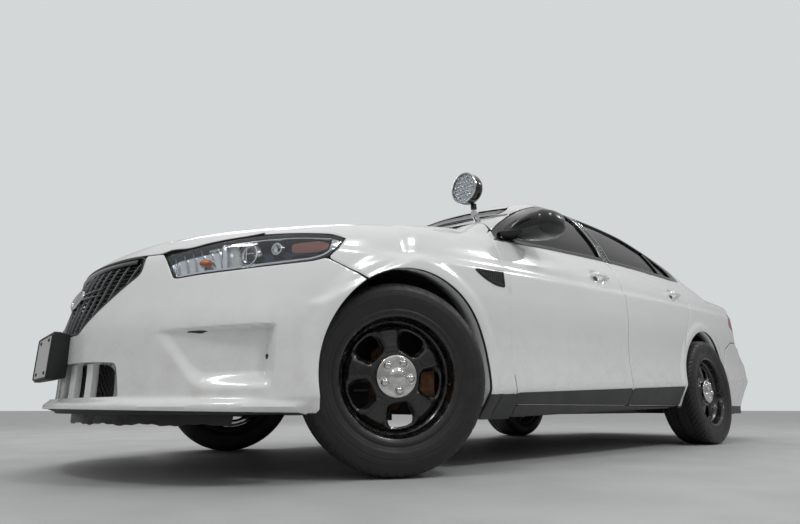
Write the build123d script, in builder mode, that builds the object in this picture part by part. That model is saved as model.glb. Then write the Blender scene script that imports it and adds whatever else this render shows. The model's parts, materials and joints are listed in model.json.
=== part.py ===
# Police patrol saloon, front wheels steered to its right as parked.
# Millimetres. The car's front faces -Y, its left side is +X, and Z is up from the floor.
# A place along the car is t, the distance behind the front axle; Y(t) turns it into the row's own Y.
from build123d import *
import math
import os

os.makedirs("parts", exist_ok=True)

# Overall sizes
wheelbase = 2868
front_overhang = 1065
rear_overhang = 1221
plate_reach = 30
track = 1656
body_half_width = 968
roof_height = 1542
panel_gap = 8
sill_bottom_z = 200

# Wheels and steering
tyre_radius = 363.5
tyre_width = 245
rim_radius = 228.6
steer_at_rest = -25
arch_radius_front = 425
arch_radius_rear = 430
well_inner_front = 500
well_inner_rear = 650

# Wall thicknesses
side_wall = 70
nose_wall = 45
hood_wall = 24
roof_wall = 30
glass_wall = 5
flange = 10
rebate = 24
flange_reach = 26
moving_clearance = 8
seat_gap = 0.3

# Shapes of the body surfaces
side_bow_radius = 30000
rake = 2.3
hood_crown_radius = 6500
roof_crown_radius = 3800
nose_plan_radius = 1020
tail_plan_radius = 1500
windshield_bend = 1900
backlight_bend = 2000

# Floor, cowl and shelf
floor_z = 245
rear_floor_z = 400
rail_z = 330
cowl_half = 720
cowl_top = 1120
roof_half = 552
door_inner_x = 612
shelf_half = 600

# Lower edge of the trunk lid, and the rubber stops it rests on
lid_bottom_z = 775
bumper_top_z = lid_bottom_z - panel_gap
stop_x = 300
stop_radius = 9
stop_root = 6

# Rubber stops that the doors close against, at these (t, z) behind each door's rear edge

# Wheel centre parts, and the upright pin that each front wheel steers about
kingpin_offset = 82
kingpin_radius = 10
kingpin_z = 222
pin_clearance = 0.3
hub_bore_radius = 41
disc_radius = 160
disc_back = 48
disc_thickness = 28
hat_radius = 80
hat_wall = 10
caliper_reach = 176

# Front plate: the height of its middle and its bolt pattern
plate_z = 432.5
bolt_spacing_x = 177.8
bolt_spacing_z = 120.65
bolt_hole_radius = 3.5

# Steering wheel and spotlight
wheel_x, wheel_t, wheel_z, wheel_tilt = 370, 905, 955, 25
spot_x, spot_t, spot_z = 815, 470, 1300
shaft_radius = 12
spot_pin_radius = 6

front_axle_y = (front_overhang + plate_reach - wheelbase - rear_overhang) / 2
side_mid = wheelbase / 2
tail_t = wheelbase + rear_overhang
w = body_half_width
nose_t = -front_overhang


def Y(t):
    """Row Y of a place t behind the front axle."""
    return front_axle_y + t


def block(x0, x1, t0, t1, z0, z1):
    """A plain box between two places on each axis."""
    with BuildPart() as b:
        with Locations(((x0 + x1) / 2, Y((t0 + t1) / 2), (z0 + z1) / 2)):
            Box(x1 - x0, t1 - t0, z1 - z0)
    return b.part


def side_prism(rows, x0, x1, grow=0):
    """A side-view outline of (t, z) rows, run across the car from x0 to x1."""
    with BuildPart() as b:
        with BuildSketch(Plane.YZ.offset(x0)):
            with BuildLine():
                Polyline(*[(Y(t), z) for t, z in rows], close=True)
            make_face()
            if grow:
                offset(amount=grow, kind=Kind.INTERSECTION)
        extrude(amount=x1 - x0)
    return b.part


def plan_prism(rows, z0, z1, grow=0):
    """A plan outline of (x, t) rows, run up from z0 to z1."""
    with BuildPart() as b:
        with BuildSketch(Plane.XY.offset(z0)):
            with BuildLine():
                Polyline(*[(x, Y(t)) for x, t in rows], close=True)
            make_face()
            if grow:
                offset(amount=grow, kind=Kind.INTERSECTION)
        extrude(amount=z1 - z0)
    return b.part


def front_prism(rows, t0, t1, grow=0):
    """A front-view outline of (x, z) rows, run along the car from t0 to t1."""
    with BuildPart() as b:
        with BuildSketch(Plane.XZ.offset(-Y(t0))):
            with BuildLine():
                Polyline(*rows, close=True)
            make_face()
            if grow:
                offset(amount=grow, kind=Kind.INTERSECTION)
        extrude(amount=-(t1 - t0))
    return b.part


def drum(x0, x1, t, z, radius):
    """A cylinder lying across the car."""
    with BuildPart() as b:
        with BuildSketch(Plane.YZ.offset(x0)):
            with Locations((Y(t), z)):
                Circle(radius)
        extrude(amount=x1 - x0)
    return b.part


def crowned(rows, radius, top):
    """A side-view outline swept round an axis along the car, so that its top is crowned."""
    axis = Axis((0, 0, top - radius), (0, 1, 0))
    half = math.degrees(math.asin(1100 / radius))
    with BuildPart() as b:
        with BuildSketch(Plane.YZ):
            with BuildLine():
                Polyline(*[(Y(t), z) for t, z in rows], close=True)
            make_face()
        revolve(axis=axis, revolution_arc=2 * half)
    return b.part.rotate(axis, -half)


def round_the_end(rows, centre_t, half):
    """A side-view outline swept round an upright axis at centre_t, half degrees to each side."""
    axis = Axis((0, Y(centre_t), 0), (0, 0, 1))
    with BuildPart() as b:
        with BuildSketch(Plane.YZ):
            with BuildLine():
                Polyline(*[(Y(t), z) for t, z in rows], close=True)
            make_face()
        revolve(axis=axis, revolution_arc=2 * half)
    return b.part.rotate(axis, -half)


def inboard(inset):
    """Everything inboard of the left side of the car, cladding to roof rail, moved in by inset."""
    axis = Axis((body_half_width - side_bow_radius, Y(side_mid), 0), (0, 0, 1))
    half = math.degrees(math.asin(3300 / side_bow_radius))
    e = w - inset
    with BuildPart() as b:
        with BuildSketch(Plane.XZ.offset(-Y(side_mid))):
            with BuildLine():
                Polyline((e - 63, 256), (e - 108, 120), (e - 108, -400), (-1400, -400), (-1400, 1640),
                         (e - 368, 1640), (e - 313, 1480))
                ThreePointArc((e - 313, 1480), (e - 170, 1290), (e - 84, 1102))
                ThreePointArc((e - 84, 1102), (e - 36, 1010), (e - 11, 911))
                Line((e - 11, 911), (e, 893))
                ThreePointArc((e, 893), (e + 1, 780), (e - 8, 660))
                ThreePointArc((e - 8, 660), (e - 19, 500), (e - 12, 362))
                Polyline((e - 12, 362), (e - 20, 343), (e - 63, 256))
            make_face()
        revolve(axis=axis, revolution_arc=2 * half)
    turned = b.part.rotate(axis, -half)
    return turned.rotate(Axis((0, Y(side_mid), 0), (1, 0, 0)), rake)


def nose_cutter(inset):
    """The space in front of the nose, whose side view is carried round a plan circle."""
    f = nose_t + inset
    rows = [(f + 60, -400), (f + 60, 185), (f + 4, 205), (f, 232), (f + 18, 250), (f + 26, 262),
            (f + 24, 415), (f + 12, 440), (f + 12, 505), (f + 72, 790), (f + 200, 1100), (f + 200, 1700),
            (f - 900, 1700), (f - 900, -400)]
    return round_the_end(rows, nose_t + nose_plan_radius, 76)


def tail_cutter(inset):
    """The space behind the tail, whose side view is carried round a plan circle."""
    e = tail_t - inset
    rows = [(e - 90, -400), (e - 90, 250), (e - 40, 320), (e - 4, 420), (e, 640), (e - 12, 735),
            (e - 60, 765), (e - 110, 1105), (e - 92, 1150), (e - 92, 1700), (e + 900, 1700), (e + 900, -400)]
    return round_the_end(rows, tail_t - tail_plan_radius, 50)


def windshield_cutter(inset):
    """The space in front of the windshield."""
    rows = [(250 + inset, 1100), (1020 + inset, 1478), (1160 + inset, 1700), (-600, 1700), (-600, 1000),
            (60 + inset, 1000)]
    return round_the_end(rows, 250 + windshield_bend, 60)


def backlight_cutter(inset):
    """The space behind the rear window."""
    rows = [(2330 - inset, 1487), (3190 - inset, 1150), (3500 - inset, 1000), (4400, 1000), (4400, 1700),
            (1900 - inset, 1700)]
    return round_the_end(rows, 3190 - backlight_bend, 40)


hood_line = [(-1500, 520), (-1180, 705), (-985, 806), (-850, 858), (-700, 906), (-480, 957), (-250, 1010),
             (40, 1068), (330, 1118)]
belt_line = [(543, 1131), (1489, 1160), (2200, 1165)]
deck_line = [(3180, 1150), (tail_t - 320, 1146), (tail_t - 150, 1134), (tail_t - 60, 1138),
             (tail_t + 500, 1138)]
roof_line = [(600, 1300), (1020, 1480), (1200, 1516), (1480, 1541), (1700, 1541), (2000, 1524),
             (2330, 1486), (2700, 1405), (3300, 1180)]
under = [(tail_t + 500, sill_bottom_z), (-1500, sill_bottom_z)]


def car_solid(inner=False):
    """The whole car as one solid: its outside, or the inside of its walls."""
    s = inboard(side_wall if inner else 0)
    if inner:
        low = [(t, z - hood_wall) for t, z in hood_line + belt_line + deck_line]
        high = [(t, z - roof_wall) for t, z in roof_line]
        low = low + [(t, z - 400) for t, z in under]
    else:
        low = hood_line + belt_line + deck_line + under
        high = roof_line
    high = high + [(3300, 1000), (200, 1000), (200, 1120)]
    body = crowned(low, hood_crown_radius, 1165)
    cabin = crowned(high, roof_crown_radius, roof_height)
    cabin = cabin - windshield_cutter(glass_wall * 7 if inner else 0)
    cabin = cabin - backlight_cutter(glass_wall * 7 if inner else 0)
    both = (body + cabin) & s & s.mirror(Plane.YZ)
    return both - nose_cutter(nose_wall if inner else 0) - tail_cutter(nose_wall if inner else 0)


def keep(name, solid):
    """Label a finished piece and write it out."""
    solid.label = name
    export_step(solid, f"parts/{name}.step")


def both_sides(solid):
    """A left-hand piece and its mirror image."""
    return Compound(children=[*solid.solids(), *solid.mirror(Plane.YZ).solids()])



def mirror_x(solid):
    """The right-hand twin of a left-hand piece."""
    return solid.mirror(Plane.YZ)


# Outlines. Side views are (t, z), plan views (x, t), front views (x, z).
front_door = [(533, 1064), (537, 986), (603, 313), (622, 262), (1664, 262), (1664, 900), (1650, 1108),
              (1606, 1430), (1588, 1492), (1460, 1490), (1280, 1452), (1060, 1375), (800, 1230), (560, 1088)]
rear_door = [(1672, 262), (2398, 262), (2410, 381), (2422, 470), (2480, 640), (2560, 780), (2640, 900),
             (2700, 1010), (2742, 1110), (2768, 1176), (2640, 1262), (2420, 1360), (2180, 1438),
             (1900, 1484), (1596, 1494), (1614, 1430), (1658, 1108), (1672, 900)]
front_glass = [(640, 1112), (1600, 1146), (1562, 1430), (1548, 1448), (1460, 1448), (1290, 1412),
               (1080, 1335), (830, 1196)]
rear_glass = [(1698, 1150), (2660, 1186), (2600, 1234), (2400, 1318), (2160, 1396), (1900, 1440),
              (1652, 1448)]
hood_plan = [(0, 160), (400, 202), (640, 268), (790, 330), (806, 0), (792, -300), (716, -620),
             (560, -832), (440, -905), (250, -980), (0, -1010)]
hood_side = [(-1100, 798), (-830, 798), (-760, 700), (420, 700), (420, 1300), (-1100, 1300)]
lid_plan = [(0, 3200), (400, 3180), (610, 3140), (660, 3400), (690, 3900), (690, 4300), (0, 4300)]
lid_side = [(3000, 1000), (3960, 1000), (3960, lid_bottom_z), (4300, lid_bottom_z), (4300, 1300), (3000, 1300)]
lamp_side = [(-900, 694), (-813, 694), (-640, 730), (-400, 812), (-318, 862), (-420, 868), (-600, 836),
             (-839, 791), (-900, 791)]
tail_lamp_side = [(3560, 905), (3600, 1000), (3760, 1046), (4200, 1056), (4200, 850), (3760, 838)]
fender_side = [(-400, 820), (-350, 760), (-262, 690), (0, 363), (0, 150), (1000, 150), (1000, 1400),
               (-1200, 1400), (-1200, 760), (-640, 760)]
grille_front = [(0, 792), (440, 786), (452, 712), (210, 506), (0, 500)]
intake_front = [(0, 405), (462, 402), (470, 278), (0, 272)]
windshield_front = [(0, 1120), (400, 1114), (640, 1106), (716, 1126), (594, 1430), (540, 1446), (0, 1462)]
rear_bumper_side = [(3000, 150), (3000, 560), (3330, 560), (3400, 700), (3560, bumper_top_z),
                    (4300, bumper_top_z), (4300, 150)]
backlight_front = [(0, 1172), (420, 1166), (640, 1150), (560, 1400), (520, 1432), (0, 1452)]


def whole(rows):
    """A half outline in x and its mirror, as one closed outline."""
    return rows + [(-x, v) for x, v in reversed(rows) if x]


wheel_plane = Plane(origin=(wheel_x, Y(wheel_t), wheel_z), x_dir=(1, 0, 0),
                    z_dir=(0, math.cos(math.radians(wheel_tilt)), math.sin(math.radians(wheel_tilt))))
level = block(-1100, 1100, -1300, 4300, sill_bottom_z, 1700)
outer = car_solid() & level
inside = car_solid(True) & level
shell = outer - inside
side_0 = inboard(0)
side_flange = inboard(flange)
side_rebate = inboard(rebate)
side_in = inboard(side_wall)
side_post = inboard(side_wall + moving_clearance)
side_post_in = inboard(side_wall + moving_clearance + 56)

arch_front = drum(well_inner_front, 1100, 0, tyre_radius, arch_radius_front)
arch_rear = drum(well_inner_rear, 1100, wheelbase, tyre_radius, arch_radius_rear)
arches = arch_front + arch_rear
arches = arches + mirror_x(arches)
shell = shell - arches
left = shell & block(0, 1100, -1300, 4300, 0, 1700)


def door(rows, glass_rows):
    """A door: an outer flange to the shut line and a box behind it, with the window cut."""
    solid = left & side_prism(rows, 500, 1100, 60)
    skin = (solid - side_flange) & side_prism(rows, 500, 1100)
    box = (solid & side_flange) & side_prism(rows, door_inner_x, 1100, -flange_reach)
    return skin + box - side_prism(glass_rows, 400, 1100)


def door_hole(rows):
    """The hole that a door shuts, with its rebate."""
    wide = side_prism(rows, 500, 1100, panel_gap) - side_rebate
    return wide + side_prism(rows, 500, 1100, -moving_clearance)


def pane(rows):
    """Side glass that fills a window, set in from the skin."""
    solid = (outer & inboard(22)) - inboard(22 + glass_wall)
    return solid & side_prism(rows, 500, 1100)


holes = door_hole(front_door) + door_hole(rear_door)

# Hood and trunk lid
hood_cut = plan_prism(whole(hood_plan), 600, 1300, panel_gap) & side_prism(hood_side, -1100, 1100, panel_gap)
hood = shell & plan_prism(whole(hood_plan), 600, 1300) & side_prism(hood_side, -1100, 1100)
keep("hood", hood)
lid_cut = plan_prism(whole(lid_plan), 600, 1300, panel_gap) & side_prism(lid_side, -1100, 1100, panel_gap)
lid = shell & plan_prism(whole(lid_plan), 600, 1300) & side_prism(lid_side, -1100, 1100)
keep("trunk_lid", lid)

# Bolt holes of the front plate, through its bracket and the nose behind it
with BuildPart() as plate_holes:
    with BuildSketch(Plane.XZ.offset(-Y(nose_t - plate_reach - 5))):
        with Locations((0, plate_z)):
            with GridLocations(bolt_spacing_x, bolt_spacing_z, 2, 2):
                Circle(bolt_hole_radius)
    extrude(amount=-150)

# Lamps and grilles
lamp_cut = side_prism(lamp_side, 500, 1100)
keep("headlamps", both_sides((left & lamp_cut) - hood_cut))
tail_cut = side_prism(tail_lamp_side, 560, 1100)
keep("tail_lamps", both_sides((left & tail_cut) - lid_cut))
grille_cut = front_prism(whole(grille_front), -1200, -700)
intake_cut = front_prism(whole(intake_front), -1200, -900)
grille = (shell & grille_cut) - hood_cut
intake = shell & intake_cut
intake = intake - plate_holes.part
keep("grilles", Compound(children=[*grille.solids(), *intake.solids()]))

# Bumpers and fenders
fender_end = 533 - panel_gap
front_zone = shell & block(-1100, 1100, -1300, fender_end, 150, cowl_top)
fender_zone = side_prism(fender_side, 500, 1100)
fender = (front_zone & fender_zone) - hood_cut - lamp_cut - block(0, cowl_half, 100, 600, 150, 1400)
keep("fenders", both_sides(fender))
bumper = front_zone - fender_zone - mirror_x(fender_zone) - hood_cut - lamp_cut - mirror_x(lamp_cut)
bumper = bumper - block(-cowl_half, cowl_half, 0, 700, 150, 1400)
keep("front_bumper", bumper - grille_cut - intake_cut - plate_holes.part)
bumper_zone = side_prism(rear_bumper_side, -1100, 1100)
tail_centre_t = tail_t - tail_plan_radius
seam_radius = tail_plan_radius - 62 - nose_wall / 2
stop_t = tail_centre_t + math.sqrt(seam_radius**2 - stop_x**2)
with BuildPart() as lid_stops:
    with BuildSketch(Plane.XY.offset(bumper_top_z - stop_root)):
        with Locations((stop_x, Y(stop_t)), (-stop_x, Y(stop_t))):
            Circle(stop_radius)
    extrude(amount=stop_root + panel_gap - seat_gap)
rear_bumper = (shell & bumper_zone) - tail_cut - mirror_x(tail_cut) - lid_cut
keep("rear_bumper", rear_bumper + lid_stops.part)

# Doors
door_fl = door(front_door, front_glass)
door_rl = door(rear_door, rear_glass)
mirror_arm = block(820, 930, 640, 720, 1075, 1105) - outer
with BuildPart() as mirror_shell:
    with BuildSketch(Plane.XZ.offset(-Y(680))):
        with BuildLine():
            Polyline((905, 1070), (1000, 1060), (1110, 1085), (1122, 1140), (1080, 1196), (950, 1200),
                     (905, 1160), close=True)
        make_face()
    extrude(amount=-200, taper=8)
with BuildPart() as handle:
    with BuildSketch(Plane.YZ.offset(w - 44)):
        SlotCenterToCenter(150, 30)
    extrude(amount=50)
handle_front = handle.part.moved(Location((0, Y(1403), 972)))
handle_rear = handle.part.moved(Location((-12, Y(2440), 1008)))
door_fl = door_fl + handle_front
door_rl = door_rl + handle_rear
keep("door_front_left", door_fl)
keep("door_rear_left", door_rl)
keep("door_front_right", mirror_x(door_fl))
keep("door_rear_right", mirror_x(door_rl))
pane_f = pane(front_glass)
pane_r = pane(rear_glass)
keep("glass_front_left", pane_f)
keep("glass_rear_left", pane_r)
keep("glass_front_right", mirror_x(pane_f))
keep("glass_rear_right", mirror_x(pane_r))
side_mirror = (mirror_shell.part + mirror_arm) - outer
keep("mirror_left", side_mirror)
keep("mirror_right", mirror_x(side_mirror))

# Glass that stays with the body
wind_cut = front_prism(whole(windshield_front), 150, 1500)
back_cut = front_prism(whole(backlight_front), 2100, 3500)
cabin = outer & block(-1100, 1100, 200, 3300, 1104, 1700)
windshield = (cabin & windshield_cutter(12) & wind_cut) - crowned(hood_line + belt_line + deck_line + under,
                                                                  hood_crown_radius, 1165)
backlight = (cabin & backlight_cutter(13) & back_cut) - crowned(hood_line + belt_line + deck_line + under,
                                                                hood_crown_radius, 1165)
keep("fixed_glass", Compound(children=[*windshield.solids(), *backlight.solids()]))

# Roof, cowl, rear shelf
upper = shell - wind_cut - back_cut - hood_cut - lid_cut
roof_box = block(-roof_half, roof_half, 850, 3000, 1360, 1700)
keep("roof_panel", upper & roof_box)
room = inside & side_post_in
room = room & mirror_x(room)
cowl = upper & block(-cowl_half, cowl_half, 100, 900, 900, cowl_top)
plate = block(-900, 900, 440, 462, floor_z, 1086) & room
dash = side_prism([(462, 720), (700, 740), (780, 850), (740, 1010), (600, 1060), (462, 1070)], -720, 720)
with BuildPart() as column:
    with BuildSketch(wheel_plane.offset(-230)):
        Circle(30)
    extrude(amount=190)
    with BuildSketch(wheel_plane.offset(-60)):
        Circle(shaft_radius)
    extrude(amount=56)
cowl_box = block(-700, 700, 230, 450, 1036, 1056) + block(-380, 380, 230, 250, 1036, 1130)
keep("firewall", plate + cowl + (cowl_box & room))
keep("dashboard", (dash & room) + column.part)
shelf_top = upper & block(-shelf_half, shelf_half, 2900, 3300, 1000, 1172)
shelf = block(-740, 740, 2545, 3120, 1100, 1124) & room
seat_wall = block(-640, 640, 2545, 2560, rear_floor_z + 20, 1106)
keep("rear_shelf", shelf_top + shelf + seat_wall)

# Side frames: quarter panel, roof rail, pillars and sill
quarter = upper & block(0, 1100, fender_end, 4300, 0, 1700)
quarter = quarter + (upper & block(0, 1100, 250, fender_end, cowl_top, 1700))
quarter = quarter - door_hole(front_door) - door_hole(rear_door) - roof_box - bumper_zone - tail_cut
quarter = quarter - block(0, cowl_half, 100, 900, 900, cowl_top)
quarter = quarter - block(-shelf_half, shelf_half, 2900, 3300, 1000, 1172)
posts = ((side_in & inside) - side_post_in) & side_prism([(440, 200), (545, 200), (545, 1080), (440, 1070)], 500, 1100)
sill = (side_post - side_post_in) & side_prism([(440, 200), (2400, 200), (2400, 400), (440, 400)], 500, 1100)
centre = (side_post - side_post_in) & side_prism([(1590, 380), (1720, 380), (1690, 1000), (1650, 1400),
                                                  (1640, 1505), (1550, 1505), (1590, 1000)], 500, 1100)
centre = centre & inside
keep("side_frames", both_sides(quarter + posts + sill + centre))

# Floor and rails
floor = block(-900, 900, 440, 2080, floor_z - 30, floor_z) & room
floor = floor + block(-130, 130, 462, 2080, floor_z, 420) - block(-110, 110, 400, 2061, floor_z - 40, 400)
rear_floor = block(-644, 644, 2060, 4060, rear_floor_z, rear_floor_z + 20)
rear_floor = rear_floor + block(-900, 900, 3325, 4060, rear_floor_z, rear_floor_z + 20)
heel = block(-644, 644, 2060, 2080, floor_z - 30, rear_floor_z + 20)
rails = block(400, 480, -1100, 450, rail_z, rail_z + 100)
rails = rails + block(400, 480, 420, 440, floor_z - 30, rail_z + 100)
rails = rails + mirror_x(rails)
floor = floor + heel + ((rear_floor + rails) & inside) - block(-110, 110, 2050, 2100, floor_z - 40, 400)
keep("floor_pan", floor - plate)


def liner(centre_t, inner_x, radius, window):
    """A wheel-arch liner with a window in its inner wall."""
    skin = drum(inner_x - 6, 900, centre_t, tyre_radius, radius + 8)
    skin = skin - drum(inner_x, 1000, centre_t, tyre_radius, radius + 2)
    skin = skin & block(0, 1100, centre_t - 600, centre_t + 600, 300, 1200) & side_in & inside
    return skin - window


window_front = block(400, 520, -150, 150, 150, 560)
window_rear = block(500, 700, wheelbase - 150, wheelbase + 150, 150, 400)
keep("wheel_liners", both_sides(Compound(children=[
    *liner(0, well_inner_front, arch_radius_front, window_front).solids(),
    *liner(wheelbase, well_inner_rear, arch_radius_rear, window_rear).solids()])))

# Running gear
subframe = block(-400, 400, -120, 60, 270, rail_z) + block(400, 480, -90, 30, 270, rail_z)
subframe = subframe + block(-480, -400, -90, 30, 270, rail_z)
kingpin_x = track / 2 - kingpin_offset
with BuildPart() as arm:
    with BuildSketch(Plane.XY.offset(kingpin_z - 22)):
        with Locations((kingpin_x, Y(0))):
            Circle(24)
        with BuildLine():
            Polyline((400, Y(-80)), (400, Y(20)), (kingpin_x, Y(24)), (kingpin_x, Y(-24)), close=True)
        make_face()
    extrude(amount=22)
    with Locations((kingpin_x, Y(0), kingpin_z)):
        Cylinder(kingpin_radius, 30, align=(Align.CENTER, Align.CENTER, Align.MIN))
    with Locations((440, Y(-30), kingpin_z - 11)):
        Box(80, 90, rail_z - kingpin_z + 11, align=(Align.CENTER, Align.CENTER, Align.MIN))
subframe = subframe + arm.part + mirror_x(arm.part)
keep("front_subframe", subframe)
keep("engine_block", block(-400, 400, -480, 300, 330, 820))
keep("fuel_tank", block(150, 600, 2100, 2540, 220, rear_floor_z))
with BuildPart() as exhaust:
    with BuildSketch(Plane.XZ.offset(-Y(500))):
        with Locations((0, 330)):
            Circle(32)
    extrude(amount=-3000)
    with Locations((0, Y(3560), 335)):
        Box(560, 320, 130)
keep("exhaust", exhaust.part)
beam = block(-600, 600, wheelbase - 60, wheelbase + 60, 215, 275) + block(-600, -500, wheelbase - 60, wheelbase + 60, 215, 400)
beam = beam + block(500, 600, wheelbase - 60, wheelbase + 60, 215, 400)


def knuckle():
    """Upright, hub and caliper about a wheel at the origin, outboard along +X."""
    caliper_foot = hat_radius + moving_clearance
    with BuildPart() as k:
        with BuildSketch(Plane.YZ.offset(-122)):
            RectangleRounded(130, 250, 40)
        extrude(amount=44)
        with BuildSketch(Plane.YZ.offset(-90)):
            Circle(60)
        extrude(amount=34)
        with BuildSketch(Plane.YZ.offset(-90)):
            Circle(hub_bore_radius - pin_clearance)
        extrude(amount=120)
        with BuildSketch(Plane.YZ.offset(-110)):
            with Locations(((caliper_reach + caliper_foot) / 2, 0)):
                Rectangle(caliper_reach - caliper_foot, 140)
        extrude(amount=118)
        with BuildSketch(Plane.YZ.offset(-110)):
            with Locations((65, 0)):
                Rectangle(50, 90)
        extrude(amount=110 - disc_back - moving_clearance)
        with BuildSketch(Plane.YZ.offset(-disc_back - moving_clearance)):
            Circle(disc_radius + moving_clearance)
            Circle(hub_bore_radius - pin_clearance, mode=Mode.SUBTRACT)
        extrude(amount=disc_thickness + 2 * moving_clearance, mode=Mode.SUBTRACT)
        with BuildSketch(Plane.XY.offset(kingpin_z + pin_clearance - tyre_radius)):
            with Locations((-kingpin_offset, 0)):
                Circle(24)
        extrude(amount=30)
        with BuildSketch(Plane.XY.offset(kingpin_z - tyre_radius)):
            with Locations((-kingpin_offset, 0)):
                Circle(kingpin_radius + pin_clearance)
        extrude(amount=32, mode=Mode.SUBTRACT)
    return k.part


def wheel():
    """Steel wheel with five holes, its cap and its brake disc, outboard along +X."""
    with BuildPart() as r:
        with BuildSketch(Plane.XZ):
            with BuildLine():
                Polyline((-110, 246), (-100, 246), (-100, rim_radius), (-70, rim_radius), (-60, 208),
                         (60, 208), (70, rim_radius), (100, rim_radius), (100, 246), (110, 246),
                         (112, 230), (104, 220), (76, 216), (66, 199), (62, 150), (58, 118), (70, 88),
                         (92, 82), (98, 60), (98, 0), (40, 0), (40, hub_bore_radius),
                         (20, hub_bore_radius), (20, 84), (44, 92), (50, 118), (54, 150), (54, 199),
                         (-60, 199), (-70, 216), (-104, 220), (-112, 230), close=True)
            make_face()
        revolve(axis=Axis.X)
        with BuildSketch(Plane.YZ.offset(30)):
            with PolarLocations(156, 5, start_angle=54):
                RectangleRounded(64, 92, 18)
        extrude(amount=80, mode=Mode.SUBTRACT)
        with BuildSketch(Plane.YZ.offset(-disc_back)):
            Circle(disc_radius)
            Circle(hat_radius - hat_wall, mode=Mode.SUBTRACT)
        extrude(amount=disc_thickness)
        with BuildSketch(Plane.YZ.offset(-disc_back + disc_thickness)):
            Circle(hat_radius)
            Circle(hat_radius - hat_wall, mode=Mode.SUBTRACT)
        extrude(amount=20 + disc_back - disc_thickness)
    return r.part


def tyre():
    """Hollow tyre on the wheel's beads."""
    half = tyre_width / 2
    with BuildPart() as r:
        with BuildSketch(Plane.XZ):
            with BuildLine():
                Polyline((100, rim_radius), (100, 250), (half - 6, 272))
                ThreePointArc((half - 6, 272), (half, 300), (half - 5, 328))
                Polyline((half - 5, 328), (half - 22, tyre_radius - 8), (half - 40, tyre_radius - 1.5),
                         (0, tyre_radius), (40 - half, tyre_radius - 1.5), (22 - half, tyre_radius - 8),
                         (5 - half, 328))
                ThreePointArc((5 - half, 328), (-half, 300), (6 - half, 272))
                Polyline((6 - half, 272), (-100, 250), (-100, rim_radius), (-84, rim_radius), (-84, 250),
                         (-half + 18, 276), (-half + 16, 320), (-half + 40, tyre_radius - 16),
                         (half - 40, tyre_radius - 16), (half - 16, 320), (half - 18, 276), (84, 250),
                         (84, rim_radius), (100, rim_radius))
            make_face()
        revolve(axis=Axis.X)
    return r.part


knuckle_left, wheel_left, tyre_left = knuckle(), wheel(), tyre()
places = [("front", 0, steer_at_rest), ("rear", wheelbase, 0)]
rear_knuckles = []
for end, t, turn in places:
    for side, sign in [("left", 1), ("right", -1)]:
        lead = kingpin_offset * math.sin(math.radians(turn))
        pull = kingpin_offset * (1 - math.cos(math.radians(turn)))
        spot = Location((sign * (track / 2 - pull), Y(t + sign * lead), tyre_radius), (0, 0, turn))
        for piece, name in [(knuckle_left, "knuckle"), (wheel_left, "wheel"), (tyre_left, "tyre")]:
            own = piece if sign == 1 else mirror_x(piece)
            own = own.moved(spot)
            if name == "knuckle" and end == "rear":
                rear_knuckles.append(own)
            elif name == "knuckle":
                keep(f"knuckle_{side}", own)
            else:
                keep(f"{name}_{end}_{side}", own)
beam = beam + block(600, track / 2 - 118, wheelbase - 50, wheelbase + 50, 300, 360)
beam = beam + block(118 - track / 2, -600, wheelbase - 50, wheelbase + 50, 300, 360)
keep("rear_suspension", beam + rear_knuckles[0] + rear_knuckles[1])

# Seats
front_base = side_prism([(1140, floor_z), (1640, floor_z), (1680, 440), (1130, 480), (1110, 400)], 130, 610)
front_back = side_prism([(1600, 440), (1720, 430), (1900, 1020), (1830, 1060), (1740, 1000)], 140, 600)
head_rest = side_prism([(1830, 1040), (1900, 1010), (1940, 1200), (1860, 1215)], 250, 490)
front_seat = front_base + front_back + head_rest
rear_base = block(-620, 620, 2080, 2470, rear_floor_z + 20, 540)
rear_back = side_prism([(2360, 540), (2500, 420), (2545, 420), (2545, 1040), (2480, 1040)], -620, 620)
keep("seats", Compound(children=[*front_seat.solids(), *mirror_x(front_seat).solids(),
                                 *(rear_base + rear_back).solids()]))

# Steering wheel
with BuildPart() as steering_wheel:
    with BuildSketch(Plane(origin=wheel_plane.origin + wheel_plane.x_dir * 178, x_dir=wheel_plane.x_dir,
                           z_dir=wheel_plane.y_dir)):
        Circle(15)
    revolve(axis=Axis(wheel_plane.origin, wheel_plane.z_dir))
    with BuildSketch(wheel_plane.offset(-30)):
        Circle(68)
    extrude(amount=36)
    with BuildSketch(wheel_plane.offset(-12)):
        Rectangle(340, 44)
        with Locations((0, -85)):
            Rectangle(50, 170)
    extrude(amount=14)
    with BuildSketch(wheel_plane.offset(-40)):
        Circle(shaft_radius + pin_clearance)
    extrude(amount=40, mode=Mode.SUBTRACT)
keep("steering_wheel", steering_wheel.part)

# Spotlight and its bracket
with BuildPart() as post:
    with BuildSketch(Plane(origin=(795, Y(590), 1090), x_dir=(1, 0, 0), z_dir=(20, -90, 100))):
        Circle(15)
    extrude(amount=126)
    with Locations((spot_x, Y(spot_t + 30), spot_z - 110)):
        Cylinder(15, 24, align=(Align.CENTER, Align.CENTER, Align.MAX))
        Cylinder(spot_pin_radius, 22, align=(Align.CENTER, Align.CENTER, Align.MIN))
keep("spotlight_bracket", post.part - outer)
with BuildPart() as spot_head:
    with BuildSketch(Plane.XZ.offset(-Y(spot_t - 45))):
        with Locations((spot_x, spot_z)):
            Circle(78)
    extrude(amount=-60)
    with BuildSketch(Plane.XZ.offset(-Y(spot_t + 15))):
        with Locations((spot_x, spot_z)):
            Circle(78)
    extrude(amount=-40, taper=35)
    with Locations((spot_x, Y(spot_t + 30), spot_z - 101)):
        Cylinder(15, 60, align=(Align.CENTER, Align.CENTER, Align.MIN))
        Cylinder(spot_pin_radius + pin_clearance, 15, align=(Align.CENTER, Align.CENTER, Align.MIN),
                 mode=Mode.SUBTRACT)
keep("spotlight_head", spot_head.part)

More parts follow.
